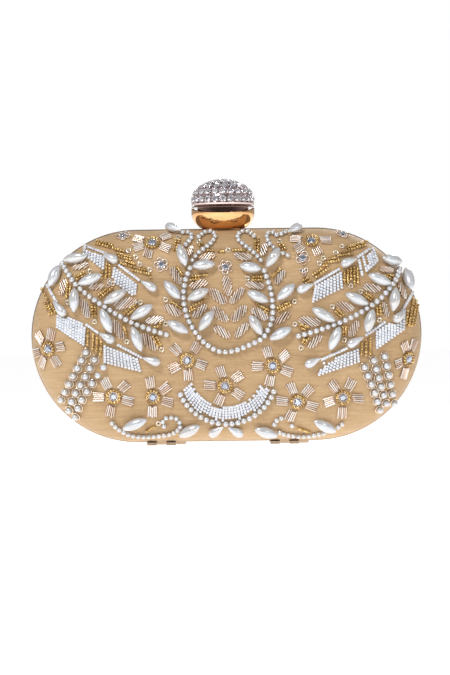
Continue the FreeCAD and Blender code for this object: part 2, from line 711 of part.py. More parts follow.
def flower(work, u, v, turns, reach=7.6):
    """Stone in a ring of gold beads, with pads of laid wire at the given angles."""
    work.stone("flower_stones", u, v, STONE_R)
    work.ring("flower_bead_rings", u, v, 3.25, 0.65, STONE_LIFT, 0.65 + 3 * GAP)
    centre, normal = seat(u, v, 0)
    core = max(-HALF_STRAIGHT, min(HALF_STRAIGHT, u))
    r = math.hypot(u - core, v)
    out = ((u - core) / r, v / r)
    squeeze = -normal.y
    for turn in turns:
        way = (math.cos(math.radians(turn)), math.sin(math.radians(turn)))
        radial = way[0] * out[0] + way[1] * out[1]
        way = [w + (squeeze - 1) * radial * o for w, o in zip(way, out)]
        start = (u + way[0] * (reach - 3.2), v + way[1] * (reach - 3.2))
        end = (u + way[0] * (reach + 2.9), v + way[1] * (reach + 2.9))
        work.plate("flower_petals", start, end, PETAL, PAD_T)


def branch(work, stem, marquises):
    """A stem of pearls with pairs of rice pearls."""
    work.pearls("stem_pearls", stem, PEARL_R)
    for base, tip in marquises:
        work.long_bead("marquise_pearls", base, tip, MARQUISE_PROFILE)


def gold_sprig(work, base, tip):
    """Double row of gold beads that ends in a ring sequin."""
    work.ring("sequins", *tip, 1.0, 0.3)
    run = math.dist(base, tip)
    side = (-(tip[1] - base[1]) / run * 0.78, (tip[0] - base[0]) / run * 0.78)
    for s in (-1, 1):
        start = (base[0] + s * side[0], base[1] + s * side[1])
        end = (tip[0] + s * side[0], tip[1] + s * side[1])
        work.string("gold_bead_rows", start, end)


def comb(work, spine, top, bottom, drop):
    """A string of white seed beads with rows hanging beside it, and a drop pearl at its end."""
    work.long_bead("drop_pearls", *drop, DROP_PROFILE)
    work.string("white_seed_rows", *spine)
    fill(work, "white_seed_rows", top, bottom)


def fill(work, node, top, bottom):
    """Rows of seed beads from one edge to the other, as close as they can lie."""
    a, b, c, d = (seat(*corner, SEED_R)[0] for corner in top + bottom)
    way = (c + d - a - b).normalize()
    width = min((b - a).cross(way).Length, (d - c).cross(way).Length)
    count = max(1, int(width / ROW_PITCH))
    for i in range(count + 1):
        share = i / count
        start = [a + (b - a) * share for a, b in zip(*top)]
        end = [a + (b - a) * share for a, b in zip(*bottom)]
        work.string(node, start, end)


def gold_fill(work, rows, sequin_ends):
    for u, v in sequin_ends:
        work.ring("sequins", u, v, 1.0, 0.3)
    for start, end in rows:
        work.string("gold_bead_rows", start, end)


def ringed_pearls(work, points, step=4.9):
    """A line of pearls, each in its own ring of fine wire."""
    for u, v in spline(points, step):
        if not work.pearl("cluster_pearls", u, v, CLUSTER_PEARL_R):
            work.refuse("cluster_pearls", u, v)
            continue
        seen = CLUSTER_PEARL_R + GAP
        work.ring("cluster_rings", u, v, CLUSTER_PEARL_R + 0.3, 0.2, seen, 0.8)


def accent(work, u, v, radius=ACCENT_R):
    work.stone("accent_stones", u, v, radius)
    work.ring("accent_loops", u, v, radius + 0.6, 0.3, STONE_LIFT, STONE_LIFT)


FLOWERS = (
    (-90.5, -6, (75, 130, 195, 240, 305, 10)), (-57.5, -30.5, (43, -16, -103, 180, 118)),
    (-37.5, -31, (100, 36, -18, -94, 168)), (-20, -12.5, (136, 56, -18, -87, 208)),
    (-1, -25.8, (106, 36, -32, -113, 177)), (23, -16, (108, 40, -20, -101, 180)),
    (35.5, -34.5, (112, 48, -16, -118, 174)), (58.5, -32.5, (128, 62, -4, -94, 195)),
    (92.5, -13.5, (118, 70, 192, 252)), (-37, 47.5, (160, 202, 254, -30, 30)),
    (43.5, 47.5, (172, 218, -68, 0)),
)

LEFT_STEM = ((-83, 37), (-80, 32.5), (-74.5, 25), (-63.5, 16.5), (-50, 8), (-37.5, 2.8), (-29.5, 0.3))
LEFT_MARQUISES = (
    ((-82.5, 39), (-70, 40.7)), ((-84.5, 36.5), (-89.3, 26)), ((-75, 26.5), (-62.5, 31)),
    ((-76.5, 24.5), (-76.8, 12.5)), ((-62, 16.5), (-50.5, 23)), ((-63, 14), (-58, 1.5)),
    ((-48, 8.7), (-37, 15.5)), ((-47.5, 4.5), (-43, -7.5)),
)
LEFT_LEAVES = (
    ((-79, 34), (-68.5, 37.3)), ((-82, 30), (-83, 20.5)), ((-70, 23.5), (-60.7, 27)),
    ((-72.5, 20.5), (-70, 8.5)), ((-57, 14), (-44.5, 18.8)), ((-57, 9.5), (-52.5, -2.5)),
    ((-43, 6), (-31, 9.5)), ((-42.5, 2), (-35.5, -8)),
)
LEFT_SPRIGS = (
    ((-75.5, 29.8), (-68.5, 33)), ((-79.3, 27), (-80, 17.5)), ((-65, 19.5), (-57.8, 25)),
    ((-67, 16.5), (-66.5, 7.5)), ((-51, 10.8), (-43.2, 17)), ((-53, 6.8), (-50.3, -2.7)),
    ((-37.5, 5), (-30.5, 6)), ((-36.5, 0), (-32.8, -7)),
)
RIGHT_STEM = ((88.5, 32.5), (85.5, 26), (77.5, 17), (66, 9.5), (54, 4.2), (42, 0.5), (34.5, -1.5))
RIGHT_MARQUISES = (
    ((90, 35.5), (79.5, 38.2)), ((92, 33), (94.3, 22)), ((84, 24.5), (72, 29.5)),
    ((86, 22.5), (84.3, 11)), ((72.5, 14), (60.5, 20)), ((74, 11.5), (70.5, 0.5)),
    ((55, 6), (43, 13)), ((57, 3), (52, -8)),
)
RIGHT_LEAVES = (
    ((87, 31), (77, 33)), ((88.5, 26), (90.5, 16.5)), ((80, 20.5), (69, 24.5)),
    ((80, 16.5), (81, 7.5)), ((66, 11), (55, 15.5)), ((66, 7), (62.5, -2.5)),
    ((48, 4.5), (36, 8)), ((48, 0), (41, -8)),
)
RIGHT_SPRIGS = (
    ((84.5, 28), (80, 30)), ((73.5, 17.5), (68, 21)), ((77, 14), (77.3, 6.5)),
    ((59.5, 8), (53.5, 13.5)), ((59.5, 4.5), (59.5, -3.3)), ((41, 2.5), (34.5, 5)),
    ((40.5, -2), (37.5, -7)),
)
LYRE = (
    (-18, 34), (-20.5, 27.5), (-21.5, 20), (-20.5, 12), (-17.5, 4.5), (-12, -3), (-4.5, -8), (3, -8.2),
    (12, -5), (18.5, -1.5), (22.5, 6), (23.5, 13), (22.3, 23), (18.8, 34),
)
LYRE_MARQUISES = (
    ((-20.3, 35.5), (-23.3, 45.5)), ((-16.5, 35), (-6, 35.8)), ((-23.3, 18.5), (-31, 27.5)),
    ((-19.2, 18), (-9, 23)), ((-19.5, 1.5), (-29.5, 7)), ((-13.5, 2.5), (-6.7, 12)),
    ((21, 34.5), (27, 43)), ((17.5, 33), (7.5, 34.8)), ((26, 17.5), (34.5, 25)),
    ((21, 16.5), (11, 21.5)), ((17.8, -0.2), (12, 9.5)), ((22, -2.5), (32.5, 3)),
)
LYRE_LEAVES = (
    ((-18.7, 37), (-17.5, 46)), ((-14, 37.5), (-5, 41.5)), ((-23.2, 25), (-27.3, 35.5)),
    ((-18.5, 23.5), (-9, 27.8)), ((-22.5, 9.5), (-31.5, 16)), ((-17, 8), (-9.8, 16)),
    ((19, 38.5), (20, 48)), ((14, 38), (3.5, 41)), ((25.3, 24.5), (29.5, 33)),
    ((20.5, 23), (9.5, 26.5)), ((21, 6.5), (13, 14)), ((24, 4.5), (32.5, 11.8)),
)
LYRE_SPRIGS = (
    ((-25.5, 43.5), (-23.8, 50)), ((-11, 43.2), (-13.3, 47.5)), ((-21.5, 29), (-25, 34)),
    ((-17.8, 28.8), (-9.5, 29.8)), ((-23, 13.2), (-30.5, 18.2)), ((-18.7, 13), (-10.5, 17)),
    ((15.8, 42.5), (15.8, 48.5)), ((29.5, 43), (27.3, 47.2)), ((24, 28.5), (28, 32.5)),
    ((19.5, 28.3), (11, 28.5)), ((26.3, 12.5), (34.5, 16.5)), ((21, 11.5), (15, 15)),
)
CHEVRONS = (
    ((0.6, 30.5), (0.9, 19)), ((0.3, 15), (-8.5, 24)), ((2, 15), (9, 24.5)),
    ((0.8, 6), (-7.7, 15)), ((2.9, 6), (10, 15.5)), ((2, -2), (-6.3, 5)), ((4, -2), (11.5, 7)),
)
SCROLLS = (
    ((-13.5, 50), (-10, 52.6), (-6.5, 52.5), (-5.3, 49.5), (-9, 45.2), (-13.5, 42), (-17, 37.5)),
    ((-21.5, 52.5), (-18, 52.3), (-17.3, 49.5), (-21, 45)),
    ((14.5, 50), (11.5, 52.5), (7.5, 52.2), (6.3, 49), (9, 46), (14, 41.8), (18.3, 37)),
    ((30.5, 52), (26.5, 50.3), (23.5, 52), (21, 50.5), (22.5, 46), (27, 42), (33.5, 39)),
    ((-58.5, -44), (-55, -47.5), (-48, -50.8), (-38, -51.2), (-28, -49.7), (-24, -46), (-26, -42),
     (-31, -41.7), (-33, -44.3), (-31.5, -46.7)),
    ((32.5, -46.5), (33.3, -43.8), (29.5, -42.3), (25, -43.5), (23.7, -46.8), (27, -50.3), (34, -52),
     (42, -52), (50.5, -50.3)),
    ((56, -47.6), (59, -45.3)),
)
LOWER_MARQUISES = (
    ((-53, -47), (-41, -42.3)), ((-24.5, -51), (-14.5, -46)), ((14, -48), (25, -51.5)),
    ((43.5, -44), (55, -50)),
)
LOOSE_DROPS = (
    ((-22.3, 53.5), (-30, 56)), ((31.7, 52), (38.7, 55)), ((-2.6, -46.8), (-9, -50.8)),
    ((0.3, -47), (7.5, -51)),
)
COMBS = (     # string beside the rows, top edge, bottom edge, drop pearl
    (((-72, 46.5), (-60.5, 42)), ((-71.5, 45), (-61.5, 41.5)),
     ((-72, 42), (-62, 34.5)), ((-62, 42), (-54.5, 37.7))),
    (((-55, 36.8), (-43.8, 28.3)), ((-56, 34.5), (-45.5, 26)),
     ((-57.3, 28.5), (-46, 19.8)), ((-42.8, 27.8), (-35, 23))),
    (((-91, 26.5), (-85.7, 17.8)), ((-90, 24), (-88, 20.5)),
     ((-89.5, 23), (-87.5, 19.5)), ((-87.3, 18), (-81.3, 10.8))),
    (((-70.5, 6), (-65, 2)), ((-85, 12), (-71.5, 6)),
     ((-85.5, 5), (-72.3, -4)), ((-64.3, 1.7), (-56.5, -2.7))),
    (((-56, -3.7), (-43.2, -10.8)), ((-61.5, -5), (-45.5, -11.5)),
     ((-61.5, -13), (-44, -17.5)), ((-42.5, -11), (-33.5, -14))),
    (((67, 38.5), (73, 42.5)), ((67.5, 36.8), (75, 43)),
     ((69, 29.5), (77, 36.5)), ((66.3, 37.8), (58.3, 34.5))),
    (((57, 32.3), (45, 25.5)), ((58, 30.5), (45.5, 24)),
     ((58.5, 23), (44, 16.2)), ((44.3, 25.2), (35.8, 21.5))),
    (((95.3, 20.5), (89.3, 11.5)), ((94, 18), (92, 14.5)),
     ((93.5, 17), (91.5, 13.5)), ((90.5, 11), (85, 6))),
    (((80, 5.3), (70.5, -1)), ((90, 9), (76, 0.8)),
     ((89.5, 1.5), (76, -7.5)), ((69.8, -1.5), (61.7, -6))),
    (((60.5, -7.6), (48, -13)), ((66, -8.3), (49, -14.8)),
     ((66.5, -14.3), (46.5, -20.7)), ((47.3, -12.3), (39.3, -16.3))),
)
CLUSTERS = (
    ((-71, -8), (-77, -18.5), (-84.5, -32)), ((-66.8, -11.7), (-72, -21), (-78, -31), (-80.7, -37.5)),
    ((-62.3, -15.7), (-68.7, -24.5), (-74.5, -33.5), (-77.5, -41)),
    ((69.5, -17.3), (74, -29), (77.5, -39.3)),
    ((74.2, -14), (77.5, -26), (80.7, -36)), ((79.7, -12), (82.3, -24), (85, -36)),
)
GOLD_FILLS = (
    ((-65.5, 49), (-57.5, 46.3)), ((-66, 47.5), (-57, 44.8)), ((-58.5, 44.5), (-50, 43)),
    ((-54.5, 42), (-46.8, 40)), ((-54, 40.5), (-48, 38.8)), ((-52.5, 38.8), (-45, 36.2)),
    ((-53, 37.2), (-46, 34.8)), ((-49, 35.2), (-39.5, 33.3)), ((-47, 33.4), (-38.5, 31.3)),
    ((-45, 31.6), (-38, 29.8)), ((60.5, 43.3), (72.5, 46.8)), ((61, 41.8), (71, 44.8)),
    ((57.5, 41), (66, 42.5)), ((57, 39.4), (64, 40.3)), ((51, 37.6), (58.5, 38.8)),
    ((50.5, 36), (57.5, 37)), ((48, 34.2), (55.5, 35.4)), ((45.5, 28.6), (52, 33)),
    ((44, 30), (49.5, 33.5)), ((39, 27), (46, 31)), ((40.5, 25.5), (46.5, 29)),
    ((-94, 24.8), (-90, 18)), ((-93, 21.5), (-88, 12)), ((-91.3, 21), (-86.5, 13)), ((-92, 17), (-89.5, 12)),
    ((92.5, 3.5), (95.5, 17)), ((94, 3.5), (97, 16)), ((95.5, 4), (98, 14)), ((91, 5), (92, 11)),
    ((-69.8, 3), (-70.3, -4)), ((-67.3, 1.2), (-67.8, -6.2)), ((-65.3, -0.7), (-65.8, -7.5)),
    ((-63.3, -2.5), (-63.8, -9)), ((68.3, -5), (68, -10.7)), ((70.5, -3.5), (70.2, -11.3)),
    ((72.6, -2.5), (72.5, -12)), ((-62, 37), (-62.6, 29.5)), ((-60.2, 36.5), (-60.6, 29.5)),
    ((-58.6, 36), (-58.8, 30)), ((60, 32.5), (60, 25.5)), ((61.7, 32), (61.7, 25.5)),
    ((63.3, 33), (63.3, 25.8)), ((65, 33.5), (65, 24.5)), ((66.6, 32.5), (66.8, 25.5)),
    ((-9, 43), (-1, 42.3)), ((3.8, 43), (9.7, 42.8)), ((-41, -48.3), (-36, -45.3)),
    ((35.5, -47.8), (41.5, -50)),
)
LOOSE_SEQUINS = (
    (1.4, 43), (-49, 43.3), (-45.3, 40), (-43.3, 36.2), (-38.3, 33.5), (59, 44.2), (56, 41), (49.5, 38.2),
    (47.5, 35.6), (59.9, 23.8), (63.1, 24), (-70.4, -5.6), (-67.9, -7.8), (-65.9, -9.1), (68, -12.3),
    (-35, -44.3),
)


def crescent(work):
    """Radial rows of white seed beads between two arcs, with pearls along the outer arc."""
    def arc(height, radius, degrees):
        angle = math.radians(degrees)
        return radius * math.cos(angle) - 0.3, height + radius * math.sin(angle)

    pearls = [arc(-19.5, 25.6, -156 + 10.4 * i) for i in range(14)]
    work.pearls("lyre_pearls", pearls, PEARL_R)
    inner, start, sweep = 18.75, -159.5, 138
    count = int(math.radians(sweep) * inner / ROW_PITCH)
    for i in range(count + 1):
        share = i / count
        near = arc(-18, inner, start + sweep * share)
        far = arc(-21.1, 22.2, start - 3.5 + (sweep + 6) * share)
        work.string("white_seed_rows", near, far)


def embroidery():
    work = Embroidery()
    work.pearls("lyre_pearls", LYRE, PEARL_R)
    for u, v, turns in FLOWERS:
        flower(work, u, v, turns)
    accent(work, 0, 34.3)
    accent(work, -32.5, 36)
    accent(work, 39, 38.5)
    accent(work, -52, 51.5)
    accent(work, 60, 51)
    accent(work, 39.5, 31.5, 0.9)
    accent(work, -58.5, 27, 0.9)
    branch(work, LEFT_STEM, LEFT_MARQUISES)
    branch(work, RIGHT_STEM, RIGHT_MARQUISES)
    for base, tip in LYRE_MARQUISES + LOWER_MARQUISES:
        work.long_bead("marquise_pearls", base, tip, MARQUISE_PROFILE)
    for base, tip in LOOSE_DROPS:
        work.long_bead("drop_pearls", base, tip, DROP_PROFILE)
    for points in SCROLLS:
        work.pearls("scroll_pearls", points, SMALL_PEARL_R)
    for base, tip in LEFT_LEAVES + RIGHT_LEAVES + LYRE_LEAVES + CHEVRONS:
        work.plate("bullion_leaves", base, tip, LEAF, PAD_T)
    crescent(work)
    for spine, top, bottom, drop in COMBS:
        comb(work, spine, top, bottom, drop)
    for points in CLUSTERS:
        ringed_pearls(work, points)
    for base, tip in LEFT_SPRIGS + RIGHT_SPRIGS + LYRE_SPRIGS:
        gold_sprig(work, base, tip)
    gold_fill(work, GOLD_FILLS, LOOSE_SEQUINS)
    for node, solids in sorted(work.nodes.items()):
        save(node, solids)
    print("left out for want of room:", len(work.refused), *work.refused, sep="\n  ")


os.makedirs(PARTS, exist_ok=True)
shells(-1, "front")
shells(1, "back")
hinges()
cups()
keeper()
lever()
spring()
dome()
rhinestones()
rivets(-1, "front")
rivets(1, "rear")
embroidery()
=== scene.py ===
"""Looks of the embroidered evening bag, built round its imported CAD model. Metres throughout."""
import math
import random

import bmesh
import bpy
import numpy as np
from mathutils import Matrix, Vector, noise
from mathutils.bvhtree import BVHTree


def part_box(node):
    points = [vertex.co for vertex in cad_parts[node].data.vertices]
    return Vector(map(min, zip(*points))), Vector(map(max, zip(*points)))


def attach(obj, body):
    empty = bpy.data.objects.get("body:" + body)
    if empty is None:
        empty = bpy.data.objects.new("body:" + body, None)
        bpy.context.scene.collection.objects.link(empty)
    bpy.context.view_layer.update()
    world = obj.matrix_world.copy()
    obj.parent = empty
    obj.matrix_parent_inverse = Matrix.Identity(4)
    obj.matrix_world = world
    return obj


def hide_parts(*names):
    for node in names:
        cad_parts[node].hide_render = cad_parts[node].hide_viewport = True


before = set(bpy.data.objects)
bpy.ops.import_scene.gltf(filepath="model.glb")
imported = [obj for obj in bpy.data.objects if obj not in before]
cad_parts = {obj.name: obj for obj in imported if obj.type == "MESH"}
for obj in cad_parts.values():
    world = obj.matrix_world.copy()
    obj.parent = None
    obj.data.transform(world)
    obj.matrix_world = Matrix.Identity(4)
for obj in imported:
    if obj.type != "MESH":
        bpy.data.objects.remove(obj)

MM = 0.001
rng = random.Random(7)
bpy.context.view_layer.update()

# ---- driving dimensions, in millimetres unless said ---------------------------------------------------
SHOULDER_R = 18.0          # radius of the case's shoulder, as in the CAD cover
SHELL_AND_SILK = 2.55      # silk plus board, outside to the lining
COVER_T = 0.7
LINING_T = 0.6
BEAD_PITCH = 1.4
SEED_R = 0.80
BAR_R = 0.42               # one bar of purl wire
PETAL_BARS = 5
PETAL_W = 4.7
BAR_LIFT = 0.42            # height of the thread padding under the bars
LEAF_PAD = ((-0.36, 0.35), (-0.2, 0.7), (0, 0.8), (0.2, 0.7), (0.36, 0.35))   # share of length, of width
SEQUIN_PROFILE = (         # cupped ring, as (height, radius)
    (-0.25, 1.38), (0.14, 1.46), (0.34, 1.22), (0.24, 0.78), (0.02, 0.55), (-0.2, 0.6), (-0.3, 0.9))
BLUE_GREY = (0.68, 0.74, 0.84)    # tint of the stones on the front
LILAC = (1.08, 1.03, 1.06)        # and on the dome
WIRE_TONES = (
    (1.05, 1.0, 0.96), (0.95, 0.82, 0.73), (1.0, 0.98, 0.98), (0.82, 0.66, 0.56), (1.02, 0.94, 0.87))
GOLD_TONES = ((1.0, 0.95, 0.85), (0.85, 0.78, 0.6), (1.0, 1.0, 1.0), (0.7, 0.6, 0.45), (1.15, 1.1, 1.0))
WHITE_TONES = ((1, 1, 1), (0.95, 0.96, 0.98), (0.98, 0.97, 0.96), (0.9, 0.91, 0.93))
GEM_SINK = 0.35            # share of a stone's height that it is set below the CAD stone's middle
CLAWS = 4
DOME_CORE_DROP = 6.0       # the dome's stones face away from a point this far below its middle
FLOOR_DROP = 34.0          # the floor is this far below the bag, so that the front half can open
FLOOR_R = 14000.0
CAMERA_DISTANCE = 1300.0
CAMERA_ASIDE = (-0.770, -1.335)   # how far the camera's aim lies right of and above the case's middle
CAMERA_ROLL = 0.75         # degrees: the bag is photographed turned a little
CAMERA_LENS = 135.0
CAMERA_FILM = 36.0


# ---- camera, light, floor -----------------------------------------------------------------------------
def add_camera():
    """Straight on, aimed a little to the left of and below the middle of the case's outline."""
    lo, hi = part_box("front_frame")
    middle = (Vector(lo) + Vector(hi)) / 2
    aim = middle + Vector((CAMERA_ASIDE[0], 0, CAMERA_ASIDE[1])) * MM
    data = bpy.data.cameras.new("camera")
    data.lens = CAMERA_LENS
    data.sensor_width = CAMERA_FILM
    data.sensor_height = CAMERA_FILM
    data.clip_start = 0.05
    camera = bpy.data.objects.new("camera", data)
    bpy.context.scene.collection.objects.link(camera)
    camera.location = aim - Vector((0, CAMERA_DISTANCE * MM, 0))
    level = Matrix.Rotation(math.pi / 2, 4, "X")
    roll = Matrix.Rotation(math.radians(CAMERA_ROLL), 4, "Y")
    camera.rotation_euler = (roll @ level).to_euler()
    bpy.context.scene.camera = camera


def add_light(name, place, size, power, colour=(1, 1, 1), aim=(0, 0, 0.06)):
    data = bpy.data.lights.new(name, "AREA")
    data.shape = "RECTANGLE"
    data.size, data.size_y = size
    data.energy = power
    data.color = colour
    lamp = bpy.data.objects.new(name, data)
    bpy.context.scene.collection.objects.link(lamp)
    lamp.location = place
    lamp.rotation_euler = (Vector(aim) - Vector(place)).to_track_quat("-Z", "Y").to_euler()


def add_world():
    """White to the camera; as light, bright above and behind and dim on the camera's side."""
    world = bpy.data.worlds.new("studio")
    world.use_nodes = True
    nodes, links = world.node_tree.nodes, world.node_tree.links
    nodes.clear()
    out = nodes.new("ShaderNodeOutputWorld")
    mix = nodes.new("ShaderNodeMixShader")
    path = nodes.new("ShaderNodeLightPath")
    white = nodes.new("ShaderNodeBackground")
    white.inputs["Color"].default_value = (1, 1, 1, 1)
    white.inputs["Strength"].default_value = 1.0
    soft = nodes.new("ShaderNodeBackground")
    soft.inputs["Strength"].default_value = 0.42
    coords = nodes.new("ShaderNodeTexCoord")
    split = nodes.new("ShaderNodeSeparateXYZ")
    ramp = nodes.new("ShaderNodeValToRGB")
    ramp.color_ramp.elements[0].position = 0.12
    ramp.color_ramp.elements[0].color = (0.18, 0.17, 0.17, 1)
    ramp.color_ramp.elements[1].position = 0.75
    ramp.color_ramp.elements[1].color = (1.0, 1.0, 1.0, 1)
    up = nodes.new("ShaderNodeMath")
    up.operation = "MULTIPLY_ADD"
    up.inputs[1].default_value = 0.5
    up.inputs[2].default_value = 0.5
    links.new(coords.outputs["Generated"], split.inputs[0])
    blend = nodes.new("ShaderNodeMath")
    blend.operation = "MULTIPLY_ADD"
    blend.inputs[1].default_value = 0.7
    links.new(split.outputs["Z"], blend.inputs[0])
    links.new(split.outputs["Y"], blend.inputs[2])
    links.new(blend.outputs[0], up.inputs[0])
    links.new(up.outputs[0], ramp.inputs[0])
    links.new(ramp.outputs["Color"], soft.inputs["Color"])
    links.new(path.outputs["Is Camera Ray"], mix.inputs[0])
    links.new(soft.outputs[0], mix.inputs[1])
    links.new(white.outputs[0], mix.inputs[2])
    links.new(mix.outputs[0], out.inputs[0])
    bpy.context.scene.world = world


def add_floor():
    place = (0, 0, -FLOOR_DROP * MM)
    bpy.ops.mesh.primitive_circle_add(vertices=96, radius=FLOOR_R * MM, fill_type="NGON", location=place)
    floor = bpy.context.object
    floor.name = "floor"
    paint = Paint("floor_white")
    paint.set(base=(0.9, 0.9, 0.9), rough=0.9, glow=0.66, glow_colour=(1, 1, 1, 1))
    floor.data.materials.append(paint.material)


# ---- materials ----------------------------------------------------------------------------------------
SOCKETS = {
    "coat": "Coat Weight",
    "coat_rough": "Coat Roughness",
    "sheen": "Sheen Weight",
    "sheen_rough": "Sheen Roughness",
    "specular": "Specular IOR Level",
    "glow": "Emission Strength",
    "glow_colour": "Emission Color",
}


class Paint:
    """A node material with short ways to add textures."""

    def __init__(self, name):
        self.material = bpy.data.materials.new(name)
        self.material.use_nodes = True
        self.nodes = self.material.node_tree.nodes
        self.links = self.material.node_tree.links
        self.shader = self.nodes["Principled BSDF"]
        self.coords = None

    def set(self, base=None, rough=None, metal=None, **sockets):
        values = {"Base Color": base and (*base, 1), "Roughness": rough, "Metallic": metal}
        values.update({SOCKETS[k]: v for k, v in sockets.items()})
        for name, value in values.items():
            if value is not None:
                self.shader.inputs[name].default_value = value

    def place(self, scale=(1, 1, 1)):
        """Object coordinates in metres, times scale."""
        if self.coords is None:
            self.coords = self.nodes.new("ShaderNodeTexCoord")
        mapping = self.nodes.new("ShaderNodeMapping")
        mapping.inputs["Scale"].default_value = scale
        self.links.new(self.coords.outputs["Object"], mapping.inputs["Vector"])
        return mapping.outputs[0]

    def noise(self, scale, stretch=(1, 1, 1), detail=3.0, rough=0.55):
        node = self.nodes.new("ShaderNodeTexNoise")
        node.inputs["Scale"].default_value = scale
        node.inputs["Detail"].default_value = detail
        node.inputs["Roughness"].default_value = rough
        self.links.new(self.place(stretch), node.inputs["Vector"])
        return node.outputs["Fac"]

    def wave(self, scale, axis, distortion=0.0, detail_scale=1.0):
        node = self.nodes.new("ShaderNodeTexWave")
        node.wave_type = "BANDS"
        node.bands_direction = axis
        node.inputs["Scale"].default_value = scale
        node.inputs["Distortion"].default_value = distortion
        node.inputs["Detail Scale"].default_value = detail_scale
        self.links.new(self.place(), node.inputs["Vector"])
        return node.outputs["Fac"]

    def ramp(self, source, stops):
        node = self.nodes.new("ShaderNodeValToRGB")
        ramp = node.color_ramp
        while len(ramp.elements) < len(stops):
            ramp.elements.new(0.5)
        for element, (where, colour) in zip(ramp.elements, stops):
            element.position = where
            element.color = (*colour, 1) if len(colour) == 3 else colour
        self.links.new(source, node.inputs["Fac"])
        return node.outputs["Color"]

    def math(self, kind, a, b):
        node = self.nodes.new("ShaderNodeMath")
        node.operation = kind
        for socket, value in zip(node.inputs, (a, b)):
            if isinstance(value, (int, float)):
                socket.default_value = value
            else:
                self.links.new(value, socket)
        return node.outputs[0]

    def mix(self, fac, a, b, kind="MIX"):
        node = self.nodes.new("ShaderNodeMix")
        node.data_type = "RGBA"
        node.blend_type = kind
        sockets = [s for s in node.inputs if s.enabled]
        for socket, value in zip(sockets, (fac, a, b)):
            if isinstance(value, (int, float)):
                socket.default_value = value
            elif isinstance(value, tuple):
                socket.default_value = (*value, 1)
            else:
                self.links.new(value, socket)
        return [s for s in node.outputs if s.enabled][0]

    def tone(self):
        """The tint that a piece's mesh carries in its colour attribute."""
        node = self.nodes.new("ShaderNodeAttribute")
        node.attribute_name = "tone"
        return node.outputs["Color"]

    def foot(self, source, colour, amount):
        """source, turning to colour down the sides of a bead sewn to the front, towards the silk: painted
        contact shade, set by the bead's own normals.
        """
        coords = self.nodes.new("ShaderNodeTexCoord")
        split = self.nodes.new("ShaderNodeSeparateXYZ")
        self.links.new(coords.outputs["Normal"], split.inputs[0])
        level = self.math("POWER", self.math("ABSOLUTE", split.outputs["Y"], 0), 0.7)
        part = self.math("POWER", self.math("SUBTRACT", 1.0, level), 1.6)
        return self.mix(self.math("MULTIPLY", part, amount), source, colour)

    def base(self, source):
        self.links.new(source, self.shader.inputs["Base Color"])

    def rough(self, source):
        self.links.new(source, self.shader.inputs["Roughness"])

    def bump(self, source, depth, strength=1.0):
        node = self.nodes.new("ShaderNodeBump")
        node.inputs["Strength"].default_value = strength
        node.inputs["Distance"].default_value = depth
        self.links.new(source, node.inputs["Height"])
        self.links.new(node.outputs[0], self.shader.inputs["Normal"])


def silk_paint(name, dark, light, sheen=0.15):
    """Raw silk: a fine plain weave with uneven slubs that run across."""
    paint = Paint(name)
    slub = paint.noise(70, (1.0, 1.0, 14.0), 6.0, 0.6)
    fine = paint.noise(500, (1.0, 1.0, 7.0), 3.0, 0.6)
    cloud = paint.noise(28, (1, 1, 1), 2.0)
    total = paint.math("ADD", paint.math("MULTIPLY", slub, 0.4), paint.math("MULTIPLY", fine, 0.3))
    total = paint.math("ADD", total, paint.math("MULTIPLY", cloud, 0.3))
    middle = tuple((a + b) / 2 for a, b in zip(dark, light))
    colour = paint.ramp(total, [(0.36, dark), (0.5, middle), (0.64, light)])
    warp = paint.wave(900, "X")
    weft = paint.wave(1100, "Z", 1.5, 2.0)
    weave = paint.math("MULTIPLY", warp, weft)
    threads = paint.ramp(weave, [(0.0, (0.5, 0.45, 0.4)), (0.6, (1, 1, 1))])
    paint.base(paint.mix(0.2, colour, threads, "MULTIPLY"))
    relief = paint.math("ADD", paint.math("MULTIPLY", weave, 0.4), paint.math("MULTIPLY", total, 0.8))
    paint.bump(relief, 0.00014, 0.5)
    paint.rough(paint.ramp(fine, [(0.3, (0.5,) * 3), (0.7, (0.68,) * 3)]))
    paint.set(sheen=sheen, sheen_rough=0.4, specular=0.3)
    return paint.material


def metal_paint(name, colour, rough=0.14, scratch=0.05, tint=None):
    """Plated metal with fine wear in its polish."""
    paint = Paint(name)
    wear = paint.noise(900, (1, 1, 1), 4.0)
    streak = paint.noise(300, (6.0, 1.0, 1.0), 3.0)
    paint.rough(paint.ramp(wear, [(0.35, (rough,) * 3), (0.75, (rough + scratch,) * 3)]))
    paint.base(paint.ramp(streak, [(0.3, tint or tuple(c * 0.86 for c in colour)), (0.7, colour)]))
    paint.bump(wear, 0.00001, 0.25)
    paint.set(metal=1.0)
    return paint.material


def pearl_paint(name, warm=(0.72, 0.71, 0.70), cool=(0.75, 0.78, 0.83)):
    """Glass pearl: a soft lustre under a clear coat, with painted shade, greyer and warmer, down its
    sides.
    """
    paint = Paint(name)
    drift = paint.noise(120, (1, 1, 1), 1.0)
    body = paint.mix(0.6, paint.ramp(drift, [(0.35, warm), (0.65, cool)]), paint.tone(), "MULTIPLY")
    # painted contact shade: the pearl's colour turns grey-brown down its sides towards the silk
    paint.base(paint.foot(body, (0.42, 0.34, 0.27), 0.9))
    paint.rough(paint.ramp(drift, [(0.3, (0.26,) * 3), (0.7, (0.34,) * 3)]))
    paint.set(metal=0.38, coat=1.0, coat_rough=0.07, specular=0.65)
    return paint.material


def glass_bead_paint(name, dark, light, metal=0.0, rough=0.16):
    paint = Paint(name)
    drift = paint.noise(700, (1, 1, 1), 2.0)
    paint.base(paint.mix(1.0, paint.ramp(drift, [(0.35, dark), (0.65, light)]), paint.tone(), "MULTIPLY"))
    paint.rough(paint.ramp(drift, [(0.3, (rough,) * 3), (0.7, (rough + 0.1,) * 3)]))
    paint.set(metal=metal, coat=0.7, coat_rough=0.06, specular=0.6)
    return paint.material


